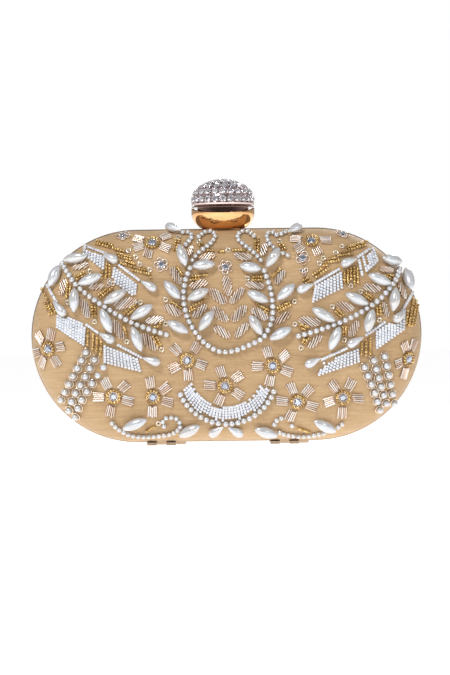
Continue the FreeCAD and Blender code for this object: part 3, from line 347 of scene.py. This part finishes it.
def wire_paint(name):
    """Purl wire: bright plated wire, each bar with its own tone."""
    paint = Paint(name)
    wear = paint.noise(300, (1, 1, 1), 2.0)
    body = paint.ramp(wear, [(0.35, (0.84, 0.77, 0.70)), (0.65, (0.94, 0.90, 0.86))])
    paint.base(paint.mix(1.0, body, paint.tone(), "MULTIPLY"))
    paint.rough(paint.ramp(wear, [(0.3, (0.28,) * 3), (0.7, (0.4,) * 3)]))
    paint.set(metal=0.75)
    return paint.material


def stone_paint(name):
    """Foil-backed cut glass: every facet carries its own tone, a painted reflection, bright or dark, over
    the stone's tint.
    """
    paint = Paint(name)
    cloud = paint.noise(2500, (1, 1, 1), 1.0)
    tint = paint.ramp(cloud, [(0.3, (0.85, 0.86, 0.9)), (0.7, (1, 1, 1))])
    paint.base(paint.mix(1.0, tint, paint.tone(), "MULTIPLY"))
    paint.rough(paint.ramp(cloud, [(0.3, (0.03,) * 3), (0.7, (0.07,) * 3)]))
    paint.set(metal=0.75, coat=1.0, coat_rough=0.02)
    return paint.material


def board_paint(name):
    """The dark pressed board that the case's halves are moulded from."""
    paint = Paint(name)
    paint.base(paint.ramp(paint.noise(500), [(0.3, (0.05, 0.04, 0.03)), (0.7, (0.09, 0.07, 0.05))]))
    paint.set(rough=0.7)
    return paint.material


# ---- meshes -------------------------------------------------------------------------------------------
class Batch:
    """Many small copies of a few shapes, gathered into one mesh with a tone for each copy."""

    def __init__(self, name):
        self.name = name
        self.points, self.faces, self.tones = [], [], []
        self.count = 0

    def add(self, shape, centre, axes, scale=1.0, tone=(1, 1, 1), face_tones=None):
        """axes: the three columns that the shape's x, y and z turn into."""
        points, faces = shape
        turned = points * np.asarray(scale) @ np.asarray(axes).T + np.asarray(centre)
        self.points.append(turned)
        self.faces += [[i + self.count for i in face] for face in faces]
        self.tones += list(face_tones) if face_tones is not None else [tone] * len(faces)
        self.count += len(points)

    def build(self, material, smooth=True):
        mesh = bpy.data.meshes.new(self.name)
        mesh.from_pydata(np.vstack(self.points).tolist(), [], self.faces)
        mesh.update()
        layer = mesh.color_attributes.new("tone", "FLOAT_COLOR", "CORNER")
        loops = np.repeat(np.array(self.tones, float), [len(f) for f in self.faces], axis=0)
        layer.data.foreach_set("color", np.hstack([loops, np.ones((len(loops), 1))]).ravel())
        mesh.polygons.foreach_set("use_smooth", [smooth] * len(mesh.polygons))
        mesh.materials.append(material)
        piece = bpy.data.objects.new(self.name, mesh)
        bpy.context.scene.collection.objects.link(piece)
        return piece


def lathe(profile, turns=16, closed=False, bulge=None):
    """Solid of revolution about x through (x, r); poles where r is 0. bulge scales r by the angle."""
    points, rows = [], []
    for x, r in profile:
        if r < 1e-9:
            rows.append([len(points)])
            points.append((x, 0, 0))
            continue
        rows.append(list(range(len(points), len(points) + turns)))
        for k in range(turns):
            angle = 2 * math.pi * k / turns
            reach = r * (bulge(angle) if bulge else 1.0)
            points.append((x, reach * math.cos(angle), reach * math.sin(angle)))
    faces = []
    pairs = list(zip(rows, rows[1:]))
    if closed:
        pairs.append((rows[-1], rows[0]))
    for a, b in pairs:
        for k in range(turns):
            n = (k + 1) % turns
            if len(a) == 1 and len(b) > 1:
                faces.append([a[0], b[n], b[k]])
            elif len(b) == 1 and len(a) > 1:
                faces.append([a[k], a[n], b[0]])
            elif len(a) > 1:
                faces.append([a[k], a[n], b[n], b[k]])
    return np.array(points, float), faces


def ball(rings=8, turns=12):
    profile = [(-math.cos(math.pi * i / rings), math.sin(math.pi * i / rings)) for i in range(rings + 1)]
    profile[0], profile[-1] = (-1, 0), (1, 0)
    return lathe(profile, turns)


def seed_bead(turns=9):
    """A short rounded glass ring with its thread hole, unit outside radius, along x."""
    profile = []
    for i in range(8):
        angle = 2 * math.pi * i / 8 + math.pi / 8
        profile.append((0.86 * math.cos(angle), 0.64 + 0.38 * math.sin(angle)))
    return lathe(profile, turns, closed=True)


def ring_shape(major, minor, turns=28, sides=8, flat=1.0):
    profile = []
    for i in range(sides):
        angle = 2 * math.pi * i / sides
        profile.append((minor * flat * math.cos(angle), major + minor * math.sin(angle)))
    return lathe(profile, turns, closed=True)


def purl(length, radius=BAR_R, pitch=0.5, turns=9):
    """A bar of purl wire: close turns with low crests, its ends closed, along x."""
    count = max(4, int(length / pitch)) * 2
    profile = [(-length / 2, 0)]
    for i in range(count + 1):
        x = -length / 2 + length * i / count
        crest = 1.0 if i % 2 else 0.955
        profile.append((x, radius * crest * (0.72 if i in (0, count) else 1.0)))
    profile.append((length / 2, 0))
    return lathe(profile, turns)


def bent(shape, lane, length):
    """A bar bowed sideways, along y, by lane(t) for t from -1 to 1."""
    points, faces = shape
    moved = points.copy()
    share = np.clip(points[:, 0] / (length / 2), -1, 1)
    moved[:, 1] += lane(share)
    return moved, faces


def cut_stone(sides=8):
    """Round cut stone of unit radius along z: table, star and kite facets, girdle and a short back."""
    def corners(count, radius, height, offset=0.0):
        angles = [2 * math.pi / count * (k + offset) for k in range(count)]
        return [(radius * math.cos(angle), radius * math.sin(angle), height) for angle in angles]

    table = corners(sides, 0.52, 0.62)
    middle = corners(sides, 0.80, 0.40, 0.5)
    girdle = corners(2 * sides, 1.0, 0.12)
    back = corners(2 * sides, 0.82, -0.30)
    points = table + middle + girdle + back
    m, g, b = sides, 2 * sides, 4 * sides
    faces = [list(range(sides))]
    for k in range(sides):
        n = (k + 1) % sides
        faces.append([k, m + k, n])
        faces.append([m + k, k, g + 2 * k])
        faces.append([m + k, g + 2 * k, g + 2 * k + 1])
        faces.append([m + k, g + 2 * k + 1, g + (2 * k + 2) % (2 * sides)])
        faces.append([m + k, g + (2 * k + 2) % (2 * sides), n])
    for k in range(2 * sides):
        n = (k + 1) % (2 * sides)
        faces.append([g + k, b + k, b + n, g + n])
    faces.append([b + k for k in reversed(range(2 * sides))])
    return np.array(points, float), faces


def painted_facet_reflections(shape, low, tint):
    """One painted reflection tone a facet: mostly bright, some dark, now and then a breath of blue or
    rose; tint is the stone's own colour.
    """
    tones = []
    for i in range(len(shape[1])):
        value = rng.choice((1.0, 1.0, 0.9, 0.75, 0.55, low)) if i else rng.choice((0.95, 0.8, 0.6))
        drift = rng.uniform(-0.06, 0.06)
        shade = (value * (1 + drift), value, value * (1 - drift))
        tones.append(tuple(a * b for a, b in zip(shade, tint)))
    return tones


# ---- reading the CAD beads ----------------------------------------------------------------------------
def islands(node):
    """The separate solids of a CAD node, each as an array of its corner points."""
    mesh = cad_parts[node].data
    raw = np.empty(len(mesh.vertices) * 3)
    mesh.vertices.foreach_get("co", raw)
    raw = raw.reshape(-1, 3)
    keys, index = np.unique(np.round(raw * 1e6).astype(np.int64), axis=0, return_inverse=True)
    index = index.ravel()
    ends = np.empty(len(mesh.edges) * 2, np.int32)
    mesh.edges.foreach_get("vertices", ends)
    a, b = index[ends.reshape(-1, 2)].T
    label = np.arange(len(keys))
    while True:
        low = np.minimum(label[a], label[b])
        fresh = label.copy()
        np.minimum.at(fresh, a, low)
        np.minimum.at(fresh, b, low)
        fresh = fresh[fresh]
        if (fresh == label).all():
            break
        label = fresh
    order = np.argsort(label, kind="stable")
    cuts = np.flatnonzero(np.diff(label[order])) + 1
    return [keys[group] * 1e-6 for group in np.split(order, cuts)]


def own_axes(points):
    """Middle, axes from the longest to the shortest, and size along each."""
    centre = points.mean(axis=0)
    _, axes = np.linalg.eigh(np.cov((points - centre).T))
    axes = axes[:, ::-1].T
    spread = (points - centre) @ axes.T
    lo, hi = spread.min(axis=0), spread.max(axis=0)
    return centre + ((lo + hi) / 2) @ axes, axes, hi - lo


class Silk:
    """The outside of the CAD cover, for seating beads on it."""

    def __init__(self, node):
        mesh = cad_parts[node].data
        mesh.calc_loop_triangles()
        points = [v.co.copy() for v in mesh.vertices]
        self.tree = BVHTree.FromPolygons(points, [t.vertices[:] for t in mesh.loop_triangles])

    def foot(self, point):
        """The nearest point of the silk and the way from it to the point."""
        place, normal, _, _ = self.tree.find_nearest(Vector(point))
        out = Vector(point) - place
        if out.length > 1e-5:
            normal = out.normalized()
        return np.array(place), np.array(normal)


def axes_from(along, normal):
    """Right-handed columns: x along, z as near the normal as it can be."""
    x = np.asarray(along) / np.linalg.norm(along)
    z = np.asarray(normal) - x * np.dot(normal, x)
    z /= np.linalg.norm(z)
    return np.column_stack([x, np.cross(z, x), z])


def near_white(spread=0.04, base=1.0):
    value = base - rng.random() * spread
    return (value, value, value)


# ---- embroidery ---------------------------------------------------------------------------------------
silk = Silk("front_cover")


def round_pearls(node, material):
    """Pearls, each a little out of round, on the places of the CAD ones."""
    batch = Batch(node.replace("_pearls", "_pearl_beads"))
    shape = ball(12, 18)
    for points in islands(node):
        lo, hi = points.min(axis=0), points.max(axis=0)
        centre, radius = (lo + hi) / 2, (hi - lo).mean() / 2
        _, normal = silk.foot(centre)
        turn = Matrix.Rotation(rng.uniform(0, math.tau), 3, Vector(normal))
        axes = np.array(turn) @ axes_from((1, 0.01, 0.2), normal)
        squash = [radius * rng.uniform(0.97, 1.03) for _ in range(3)]
        batch.add(shape, centre, axes, squash, near_white(0.08))
    finish_bead(batch.build(material), node)


def finish_bead(piece, node):
    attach(piece, "front")
    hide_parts(node)


def rice_pearls(material):
    """Long pearls pointed at both ends, with a soft ridge along the top."""
    node = "marquise_pearls"
    batch = Batch("rice_pearls")
    rings = 18
    for points in islands(node):
        centre, axes, size = own_axes(points)
        _, normal = silk.foot(centre)
        half, radius = size[0] / 2 * 1.07, size[1] / 2 * 1.04
        lean = rng.uniform(-0.35, 0.35)
        power = rng.uniform(0.62, 0.74)
        profile = []
        for i in range(rings + 1):
            t = -math.cos(math.pi * i / rings)
            profile.append((t * half, radius * max(0.0, 1 - t * t) ** power))
        profile[0], profile[-1] = (-half, 0), (half, 0)

        def ridge(angle):
            crest = max(0.0, math.cos(angle - math.pi / 2 - lean)) ** 10
            return 1 + 0.07 * crest - 0.03 * abs(math.cos(angle))

        shape = lathe(profile, 22, bulge=ridge)
        batch.add(shape, centre, axes_from(axes[0], normal), 1.0, near_white(0.06))
    finish_bead(batch.build(material), node)


def drop_pearls(material):
    node = "drop_pearls"
    batch = Batch("teardrop_pearls")
    rings = 16
    for points in islands(node):
        centre, axes, size = own_axes(points)
        spread = (points - centre) @ axes[0]
        off = np.linalg.norm(points - centre - np.outer(spread, axes[0]), axis=1)
        along = axes[0] * (1 if spread[off > 0.9 * off.max()].mean() > 0 else -1)
        _, normal = silk.foot(centre)
        half, radius = size[0] / 2 * 1.03, off.max()
        profile = []
        for i in range(rings + 1):
            t = -math.cos(math.pi * i / rings)
            fat = math.sqrt(max(0.0, 1 - t * t)) * (0.62 + 0.42 * t) ** 0.9
            profile.append((t * half, radius * 1.28 * fat))
        profile[0], profile[-1] = (-half, 0), (half, 0)
        batch.add(lathe(profile, 20), centre, axes_from(along, normal), 1.0, near_white(0.06))
    finish_bead(batch.build(material), node)


def seed_rows(node, name, material, tones):
    """One bead after another along every CAD run, seated on the silk, each a little different."""
    batch = Batch(name)
    shape = seed_bead()
    for points in islands(node):
        centre, axes, size = own_axes(points)
        count = max(1, round(size[0] / (BEAD_PITCH * MM)))
        for i in range(count):
            offset = (i + 0.5) / count - 0.5
            place = centre + axes[0] * size[0] * offset
            foot, normal = silk.foot(place)
            radius = SEED_R * MM * rng.uniform(0.94, 1.04)
            sway = axes[0] + 0.12 * np.array([rng.uniform(-1, 1) for _ in range(3)])
            seat = foot + normal * (radius + 0.05 * MM)
            batch.add(shape, seat, axes_from(sway, normal), radius, rng.choice(tones))
    finish_bead(batch.build(material), node)


def bead_rings(material, tones):
    """Gold beads strung in a ring round each flower's stone."""
    node = "flower_bead_rings"
    batch = Batch("flower_gold_beads")
    shape = seed_bead()
    for points in islands(node):
        centre, axes, size = own_axes(points)
        reach = size[0] / 2 - SEED_R * MM
        count = int(2 * math.pi * reach / (BEAD_PITCH * MM))
        start = rng.random()
        for i in range(count):
            angle = 2 * math.pi * (i + start) / count
            out = axes[0] * math.cos(angle) + axes[1] * math.sin(angle)
            along = axes[1] * math.cos(angle) - axes[0] * math.sin(angle)
            batch.add(shape, centre + out * reach, axes_from(along, out), SEED_R * MM, rng.choice(tones))
    finish_bead(batch.build(material), node)


def padding(batch, centre, grid, stations, height):
    """The flat thread pad under laid wire, near black so that where it shows between the bars it paints
    their shade: stations are (along, width), in millimetres.
    """
    points, faces = [], []
    for z in (0.05, height):
        for t, w in stations:
            points += [(t, -w / 2, z), (t, w / 2, z)]
    n = 2 * len(stations)
    for k in range(len(stations) - 1):
        a = 2 * k
        faces.append([n + a, n + a + 2, n + a + 3, n + a + 1])
        faces.append([a, a + 1, a + 3, a + 2])
        faces.append([a, a + 2, n + a + 2, n + a])
        faces.append([a + 1, n + a + 1, n + a + 3, a + 3])
    faces.append([0, n, n + 1, 1])
    faces.append([n - 2, n - 1, 2 * n - 1, 2 * n - 2])
    batch.add((np.array(points, float), faces), centre, grid, MM, near_white(0.2))


def petals(material, thread, flower_centres):
    """Five bars of purl wire side by side over every petal's padding, fanned from the flower's stone."""
    node = "flower_petals"
    batch, pads = Batch("petal_purls"), Batch("petal_padding")
    for points in islands(node):
        centre, axes, _ = own_axes(points)
        hub = min(flower_centres, key=lambda c: np.linalg.norm(c - centre))
        foot, normal = silk.foot(centre)
        grid = axes_from(centre - hub, axes[2] * (1 if np.dot(axes[2], normal) > 0 else -1))
        along = (points - centre) @ grid[:, 0]
        length = (along.max() - along.min()) / MM
        skew = rng.uniform(-0.06, 0.06)
        for lane in range(PETAL_BARS):
            side = 2 * lane / (PETAL_BARS - 1) - 1
            turn = np.array(Matrix.Rotation(side * 0.05 + skew, 3, Vector(grid[:, 2])))
            place = centre + grid[:, 1] * side * (PETAL_W / 2 - BAR_R) * MM
            place = place + grid[:, 0] * rng.uniform(-0.4, 0.4) * MM
            low, up = silk.foot(place)
            seat = low + up * (BAR_LIFT + BAR_R - 0.12 * side * side) * MM
            bar = purl(length * rng.uniform(0.9, 1.05), BAR_R * rng.uniform(0.92, 1.05))
            batch.add(bar, seat, turn @ grid, MM, rng.choice(WIRE_TONES))
        stations = [(-length * 0.42, PETAL_W - 0.7), (0, PETAL_W - 0.5), (length * 0.42, PETAL_W - 0.7)]
        padding(pads, foot, axes_from(grid[:, 0], normal), stations, BAR_LIFT)
    finish_bead(batch.build(material), node)
    lay_thread(pads.build(thread))


def lay_thread(piece):
    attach(piece, "front")


def leaves(material, thread):
    """Purl leaves: slanted bars laid side by side from the leaf's foot to its tip."""
    node = "bullion_leaves"
    batch, pads = Batch("leaf_purls"), Batch("leaf_padding")
    for points in islands(node):
        centre, axes, size = own_axes(points)
        foot, normal = silk.foot(centre)
        along = axes[0] * (1 if axes[0][2] > 0 else -1)
        grid = axes_from(along, normal)
        length, width = size[0] / MM, size[1] / MM
        upright = 1 if along[0] < 0 else -1
        slanted_leaf(batch, centre, grid, length, width, upright * rng.uniform(18, 27))
        stations = [(length * t, width * w) for t, w in LEAF_PAD]
        padding(pads, foot, grid, stations, BAR_LIFT)
    finish_bead(batch.build(material), node)
    lay_thread(pads.build(thread))


def slanted_leaf(batch, centre, grid, length, width, degrees):
    """Bars at the given slant, each as long as the leaf's outline lets it be."""
    slant = math.radians(degrees)
    turn = np.array(Matrix.Rotation(-slant, 3, Vector(grid[:, 2])))
    way = turn @ grid
    half_across = length / 2 * math.sin(abs(slant)) + width / 2 * math.cos(slant) * 0.7
    pitch = 2.3 * BAR_R
    count = max(4, int(2 * half_across / pitch))
    for i in range(count):
        step = (i + 0.5) / count * 2 - 1
        bar = length * (1 - abs(step) ** 2) * 0.52 + length * 0.14
        slide = step * length * 0.30 * (1 if degrees > 0 else -1)
        place = centre + (grid[:, 0] * slide + way[:, 1] * step * half_across * 0.62) * MM
        foot, normal = silk.foot(place)
        seat = foot + normal * (BAR_LIFT + BAR_R + 0.1 * rng.random()) * MM
        bow = rng.uniform(-0.12, 0.12)
        shape = bent(purl(bar), lambda t: bow * (1 - t * t), bar)
        batch.add(shape, seat, way, MM, rng.choice(WIRE_TONES))


def stones(node, name, material, metal, tint, body="front", core=None, grow=1.0, low=0.25):
    """Cut stones in claw settings, facing away from core or from the silk. Returns their middles."""
    gems = Batch(name)
    claws = Batch(name + "_claws")
    shape = cut_stone()
    collar = ring_shape(1.0, 0.13, 24, 8)
    claw = ball(6, 8)
    centres = []
    for points in islands(node):
        middle, axes, size = own_axes(points)
        out = silk.foot(middle)[1] if core is None else middle - core
        normal = axes[2] * (1 if np.dot(axes[2], out) > 0 else -1)
        radius = size[0] / 2 * grow
        seat = middle - normal * size[2] * GEM_SINK
        side = np.cross(normal, (0.3, 0.9, 0.1))
        grid = axes_from(side, normal)
        spin = np.array(Matrix.Rotation(rng.uniform(0, math.tau), 3, Vector(normal)))
        # each facet's colour carries a painted reflection, bright or dark; low is the darkest
        gems.add(shape, seat, spin @ grid, radius * 0.97, face_tones=painted_facet_reflections(shape, low, tint))
        flat = np.column_stack([grid[:, 2], grid[:, 0], grid[:, 1]])
        claws.add(collar, seat + normal * radius * 0.08, flat, radius)
        for k in range(CLAWS):
            angle = math.pi / 4 + 2 * math.pi * k / CLAWS
            aside = grid[:, 0] * math.cos(angle) + grid[:, 1] * math.sin(angle)
            place = seat + aside * radius * 0.98 + normal * radius * 0.30
            claws.add(claw, place, grid, radius * np.array((0.2, 0.2, 0.28)))
        centres.append(middle)
    gem_piece = gems.build(material, smooth=False)
    claw_piece = claws.build(metal)
    for piece in (gem_piece, claw_piece):
        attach(piece, body)
    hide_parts(node)
    return centres


def wire_rings(node, name, material):
    """Fine wire rings in place of the CAD ones, a little larger and not quite round."""
    batch = Batch(name)
    for points in islands(node):
        centre, axes, size = own_axes(points)
        minor = size[2] / 2
        major = (size[0] + size[1]) / 4 - minor
        grid = np.column_stack([axes[2], axes[0], np.cross(axes[2], axes[0])])
        shape = ring_shape(major * 1.06, minor * 1.5, 32, 8)
        oval = (1.0, rng.uniform(1.0, 1.05), rng.uniform(1.0, 1.05))
        batch.add(shape, centre, grid, oval, near_white(0.12))
    finish_bead(batch.build(material), node)


def wire_loops(node, material):
    """Round every accent stone, a few overlapping loops of purl wire that lie flat like petals."""
    batch = Batch("stone_purl_loops")
    for points in islands(node):
        centre, axes, size = own_axes(points)
        minor = size[2] / 2
        major = (size[0] + size[1]) / 4 - minor
        foot, normal = silk.foot(centre)
        up = axes[2] * (1 if np.dot(axes[2], normal) > 0 else -1)
        flat = axes_from(axes[0], up)
        count = 5 if major > 1.8 * MM else 3
        start = rng.random()
        for i in range(count):
            angle = math.tau * (i + start) / count
            out = flat[:, 0] * math.cos(angle) + flat[:, 1] * math.sin(angle)
            loop = ring_shape(major * 0.62, minor, 24, 7)
            seat = foot + out * (major * 0.95) + up * (0.55 + 0.12 * (i % 2)) * MM
            turn = np.column_stack([up, out, np.cross(up, out)])
            batch.add(loop, seat, turn, 1.0, rng.choice(WIRE_TONES))
    finish_bead(batch.build(material), node)


def sequins(material):
    """Small cupped ring sequins."""
    node = "sequins"
    batch = Batch("ring_sequins")
    shape = lathe(SEQUIN_PROFILE, 22, closed=True)
    for points in islands(node):
        centre, axes, _ = own_axes(points)
        foot, normal = silk.foot(centre)
        out = axes[2] * (1 if np.dot(axes[2], normal) > 0 else -1)
        side = np.cross(out, (0.2, 0.1, 1))
        side /= np.linalg.norm(side)
        grid = np.column_stack([out, side, np.cross(out, side)])
        batch.add(shape, foot + normal * 0.42 * MM, grid, MM, near_white(0.1))
    finish_bead(batch.build(material), node)


# ---- silk covers and linings --------------------------------------------------------------------------
class Case:
    """The domed stadium of one half, from the CAD cover's box: front is side -1, back is +1."""

    def __init__(self, node, side):
        lo, hi = (Vector(c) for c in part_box(node))
        self.side = side
        self.rim = (hi.z - lo.z) / 2
        self.straight = (hi.x - lo.x) / 2 - self.rim
        self.middle = Vector(((hi.x + lo.x) / 2, 0, (hi.z + lo.z) / 2))
        self.rise = hi.y - lo.y
        self.base_y = hi.y if side < 0 else lo.y
        self.shoulder = SHOULDER_R * MM
        self.reach = self.rim - self.shoulder
        top = self.reach ** 2 + self.rise ** 2 - self.shoulder ** 2
        self.crown = top / (2 * (self.rise - self.shoulder))
        self.lean = math.atan2(self.reach, self.crown - self.rise)

    def section(self, inset, skirt, steps):
        """(r, depth, lean) from the rim's skirt up over the shoulder to the crown's middle."""
        rows = []
        for i in range(steps[0]):
            rows.append((self.rim - inset, -skirt * (1 - i / steps[0]), math.pi / 2))
        for i in range(steps[1] + 1):
            angle = math.pi / 2 + (self.lean - math.pi / 2) * i / steps[1]
            reach = self.shoulder - inset
            rows.append((self.reach + reach * math.sin(angle), reach * math.cos(angle), angle))
        for i in range(1, steps[2] + 1):
            angle = self.lean * (1 - i / steps[2])
            reach = self.crown - inset
            deep = self.rise - self.crown + reach * math.cos(angle)
            rows.append((reach * math.sin(angle), deep, angle))
        return rows

    def outline(self, count_turn=56, count_run=40):
        """Core point and outward way for stations round the stadium."""
        stations = []
        for i in range(count_turn):
            angle = math.pi / 2 - math.pi * i / count_turn
            stations.append((self.straight, math.cos(angle), math.sin(angle)))
        for i in range(count_run):
            stations.append((self.straight - 2 * self.straight * i / count_run, 0.0, -1.0))
        for i in range(count_turn):
            angle = -math.pi / 2 - math.pi * i / count_turn
            stations.append((-self.straight, math.cos(angle), math.sin(angle)))
        for i in range(count_run):
            stations.append((-self.straight + 2 * self.straight * i / count_run, 0.0, 1.0))
        return stations

    def skin(self, inset, skirt, steps, ruffle):
        """Grid of points; ruffle(point, station share, lean) lifts each along its normal."""
        rows = []
        stations = self.outline()
        for r, deep, lean in self.section(inset, skirt, steps):
            row = []
            for i, (core, ox, oz) in enumerate(stations):
                spread = Vector((ox, 0, oz))
                point = self.middle + Vector((core, 0, 0)) + spread * r
                point.y = self.base_y + self.side * deep
                normal = spread * math.sin(lean) + Vector((0, self.side * math.cos(lean), 0))
                row.append(point + normal * ruffle(point, i / len(stations), lean))
            rows.append(row)
        return rows


def cloth_piece(name, outer, inner, material, body, node):
    """A sheet between two grids, closed round its rim, its crown lines welded."""
    mesh = bpy.data.meshes.new(name)
    work = bmesh.new()
    grids = []
    for rows in (outer, inner):
        grids.append([[work.verts.new(p) for p in row] for row in rows])
    for flip, grid in enumerate(grids):
        for a, b in zip(grid, grid[1:]):
            for i in range(len(a)):
                n = (i + 1) % len(a)
                corners = [a[i], a[n], b[n], b[i]]
                work.faces.new(corners[::-1] if flip else corners)
    a, b = grids[0][0], grids[1][0]
    for i in range(len(a)):
        n = (i + 1) % len(a)
        work.faces.new([a[n], a[i], b[i], b[n]])
    bmesh.ops.remove_doubles(work, verts=work.verts, dist=1e-6)
    bmesh.ops.recalc_face_normals(work, faces=work.faces)
    work.to_mesh(mesh)
    work.free()
    mesh.polygons.foreach_set("use_smooth", [True] * len(mesh.polygons))
    mesh.materials.append(material)
    piece = bpy.data.objects.new(name, mesh)
    bpy.context.scene.collection.objects.link(piece)
    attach(piece, body)
    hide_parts(node)
    return piece


def silk_ruffle(depth):
    """Soft drag lines on the shoulder, where the silk is pulled over it, and a faint unevenness."""
    def lift(point, share, lean):
        pull = math.sin(lean) ** 2
        lines = noise.noise(Vector((share * 190, point.y * 30, 3.0)))
        cloud = noise.noise(point * 90)
        return (depth * pull * lines + 0.03 * cloud - 0.02) * MM
    return lift


def covers(material):
    for half, side in (("front", -1), ("back", 1)):
        case = Case(f"{half}_cover", side)
        steps = (1, 22, 26)
        outer = case.skin(0.02 * MM, 0.0, steps, silk_ruffle(0.10))
        inner = case.skin((COVER_T - 0.02) * MM, 0.0, steps, lambda *_: 0.0)
        piece = cloth_piece(f"{half}_silk", outer, inner, material, half, f"{half}_cover")


def linings(material):
    for half, side in (("front", -1), ("back", 1)):
        case = Case(f"{half}_cover", side)
        lo, hi = (Vector(c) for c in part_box(f"{half}_lining"))
        mouth = hi.y if side < 0 else lo.y
        skirt = abs(mouth - case.base_y)
        steps = (4, 18, 22)
        near, far = (SHELL_AND_SILK + 0.08) * MM, (SHELL_AND_SILK + 0.1 + LINING_T) * MM
        outer = case.skin(near, skirt, steps, lambda *_: 0.0)
        inner = case.skin(far, skirt, steps, silk_ruffle(0.25))
        name, node = f"{half}_lining_cloth", f"{half}_lining"
        piece = cloth_piece(name, outer, inner, material, half, node)


# ---- build --------------------------------------------------------------------------------------------
def paint_node(node, material):
    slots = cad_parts[node].data.materials
    slots.clear()
    slots.append(material)


add_camera()
add_world()
# each light's name, place and size in metres, and watts
add_light("key", (-0.50, -1.0, 1.00), (0.26, 0.26), 9.6)
add_light("fill", (0.9, -1.1, 0.6), (0.25, 0.4), 2.0)
add_light("back", (0.5, 1.2, 0.9), (0.4, 0.4), 7.0)
add_floor()

silk_gold = silk_paint("silk_gold", (0.48, 0.31, 0.155), (0.71, 0.49, 0.275))
lining_satin = silk_paint("lining_satin", (0.5, 0.37, 0.22), (0.62, 0.48, 0.32), 0.2)
pearl = pearl_paint("pearl")
white_glass = glass_bead_paint("white_glass", (0.82, 0.84, 0.90), (0.92, 0.94, 0.99))
gold_glass = glass_bead_paint("gold_glass", (0.54, 0.34, 0.11), (0.82, 0.60, 0.27), 0.65, 0.14)
purl_wire = wire_paint("purl_wire")
cut_glass = stone_paint("cut_glass")
# real thread padding, but made near black so that it paints the shade in the gaps between the purl bars
padding_and_gap_shade = silk_paint("padding_and_gap_shade", (0.06, 0.03, 0.012), (0.12, 0.065, 0.03), 0.0)
rose_metal = metal_paint("rose_metal", (0.86, 0.60, 0.50))
pale_gold = metal_paint("pale_gold", (0.90, 0.76, 0.60))
frame_gold = metal_paint("frame_gold", (0.50, 0.36, 0.24), 0.22)
clasp_gold = metal_paint("clasp_gold", (0.92, 0.55, 0.26), 0.07, 0.03, (0.86, 0.46, 0.20))
dome_metal = metal_paint("dome_metal", (0.88, 0.70, 0.65), 0.12)
claw_metal = metal_paint("claw_metal", (0.90, 0.80, 0.78), 0.16)
dome_claws = metal_paint("dome_claws", (0.66, 0.62, 0.66), 0.2)
base_metal = metal_paint("base_metal", (0.36, 0.22, 0.19), 0.08)
steel = metal_paint("steel", (0.55, 0.55, 0.56), 0.28)
board = board_paint("case_board")
sequin_shine = glass_bead_paint("sequin_shine", (0.80, 0.66, 0.46), (0.95, 0.86, 0.72), 0.55, 0.12)

covers(silk_gold)
linings(lining_satin)
for node in ("stem_pearls", "lyre_pearls", "scroll_pearls", "cluster_pearls"):
    round_pearls(node, pearl)
rice_pearls(pearl)
drop_pearls(pearl)
seed_rows("white_seed_rows", "white_seed_beads", white_glass, WHITE_TONES)
seed_rows("gold_bead_rows", "gold_seed_beads", gold_glass, GOLD_TONES)
bead_rings(gold_glass, GOLD_TONES)
flower_centres = stones("flower_stones", "flower_gems", cut_glass, claw_metal, BLUE_GREY)
stones("accent_stones", "accent_gems", cut_glass, claw_metal, BLUE_GREY, grow=1.15)
petals(purl_wire, padding_and_gap_shade, flower_centres)
leaves(purl_wire, padding_and_gap_shade)
wire_rings("cluster_rings", "pearl_wire_rings", pale_gold)
wire_loops("accent_loops", purl_wire)
sequins(sequin_shine)

dome_lo, dome_hi = (Vector(c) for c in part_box("clasp_dome"))
dome_core = np.array((dome_lo + dome_hi) / 2) - np.array((0, 0, DOME_CORE_DROP * MM))
stones("dome_rhinestones", "dome_gems", cut_glass, dome_claws, LILAC, "dome", dome_core, 1.04, 0.65)

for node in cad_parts:
    if node.endswith("_shell"):
        paint_node(node, board)
    elif node.endswith("_frame") or "knuckles" in node:
        paint_node(node, frame_gold)
    elif node.startswith("clasp_") and node.endswith("_cup"):
        paint_node(node, clasp_gold)
    elif node == "clasp_dome":
        paint_node(node, dome_metal)
    elif node == "dome_base":
        paint_node(node, base_metal)
    elif "pin" in node or node in ("clasp_keeper", "clasp_lever", "clasp_spring", "dome_screws"):
        paint_node(node, steel)
    elif "rivets" in node:
        paint_node(node, rose_metal)

bpy.context.scene.view_settings.view_transform = "Standard"
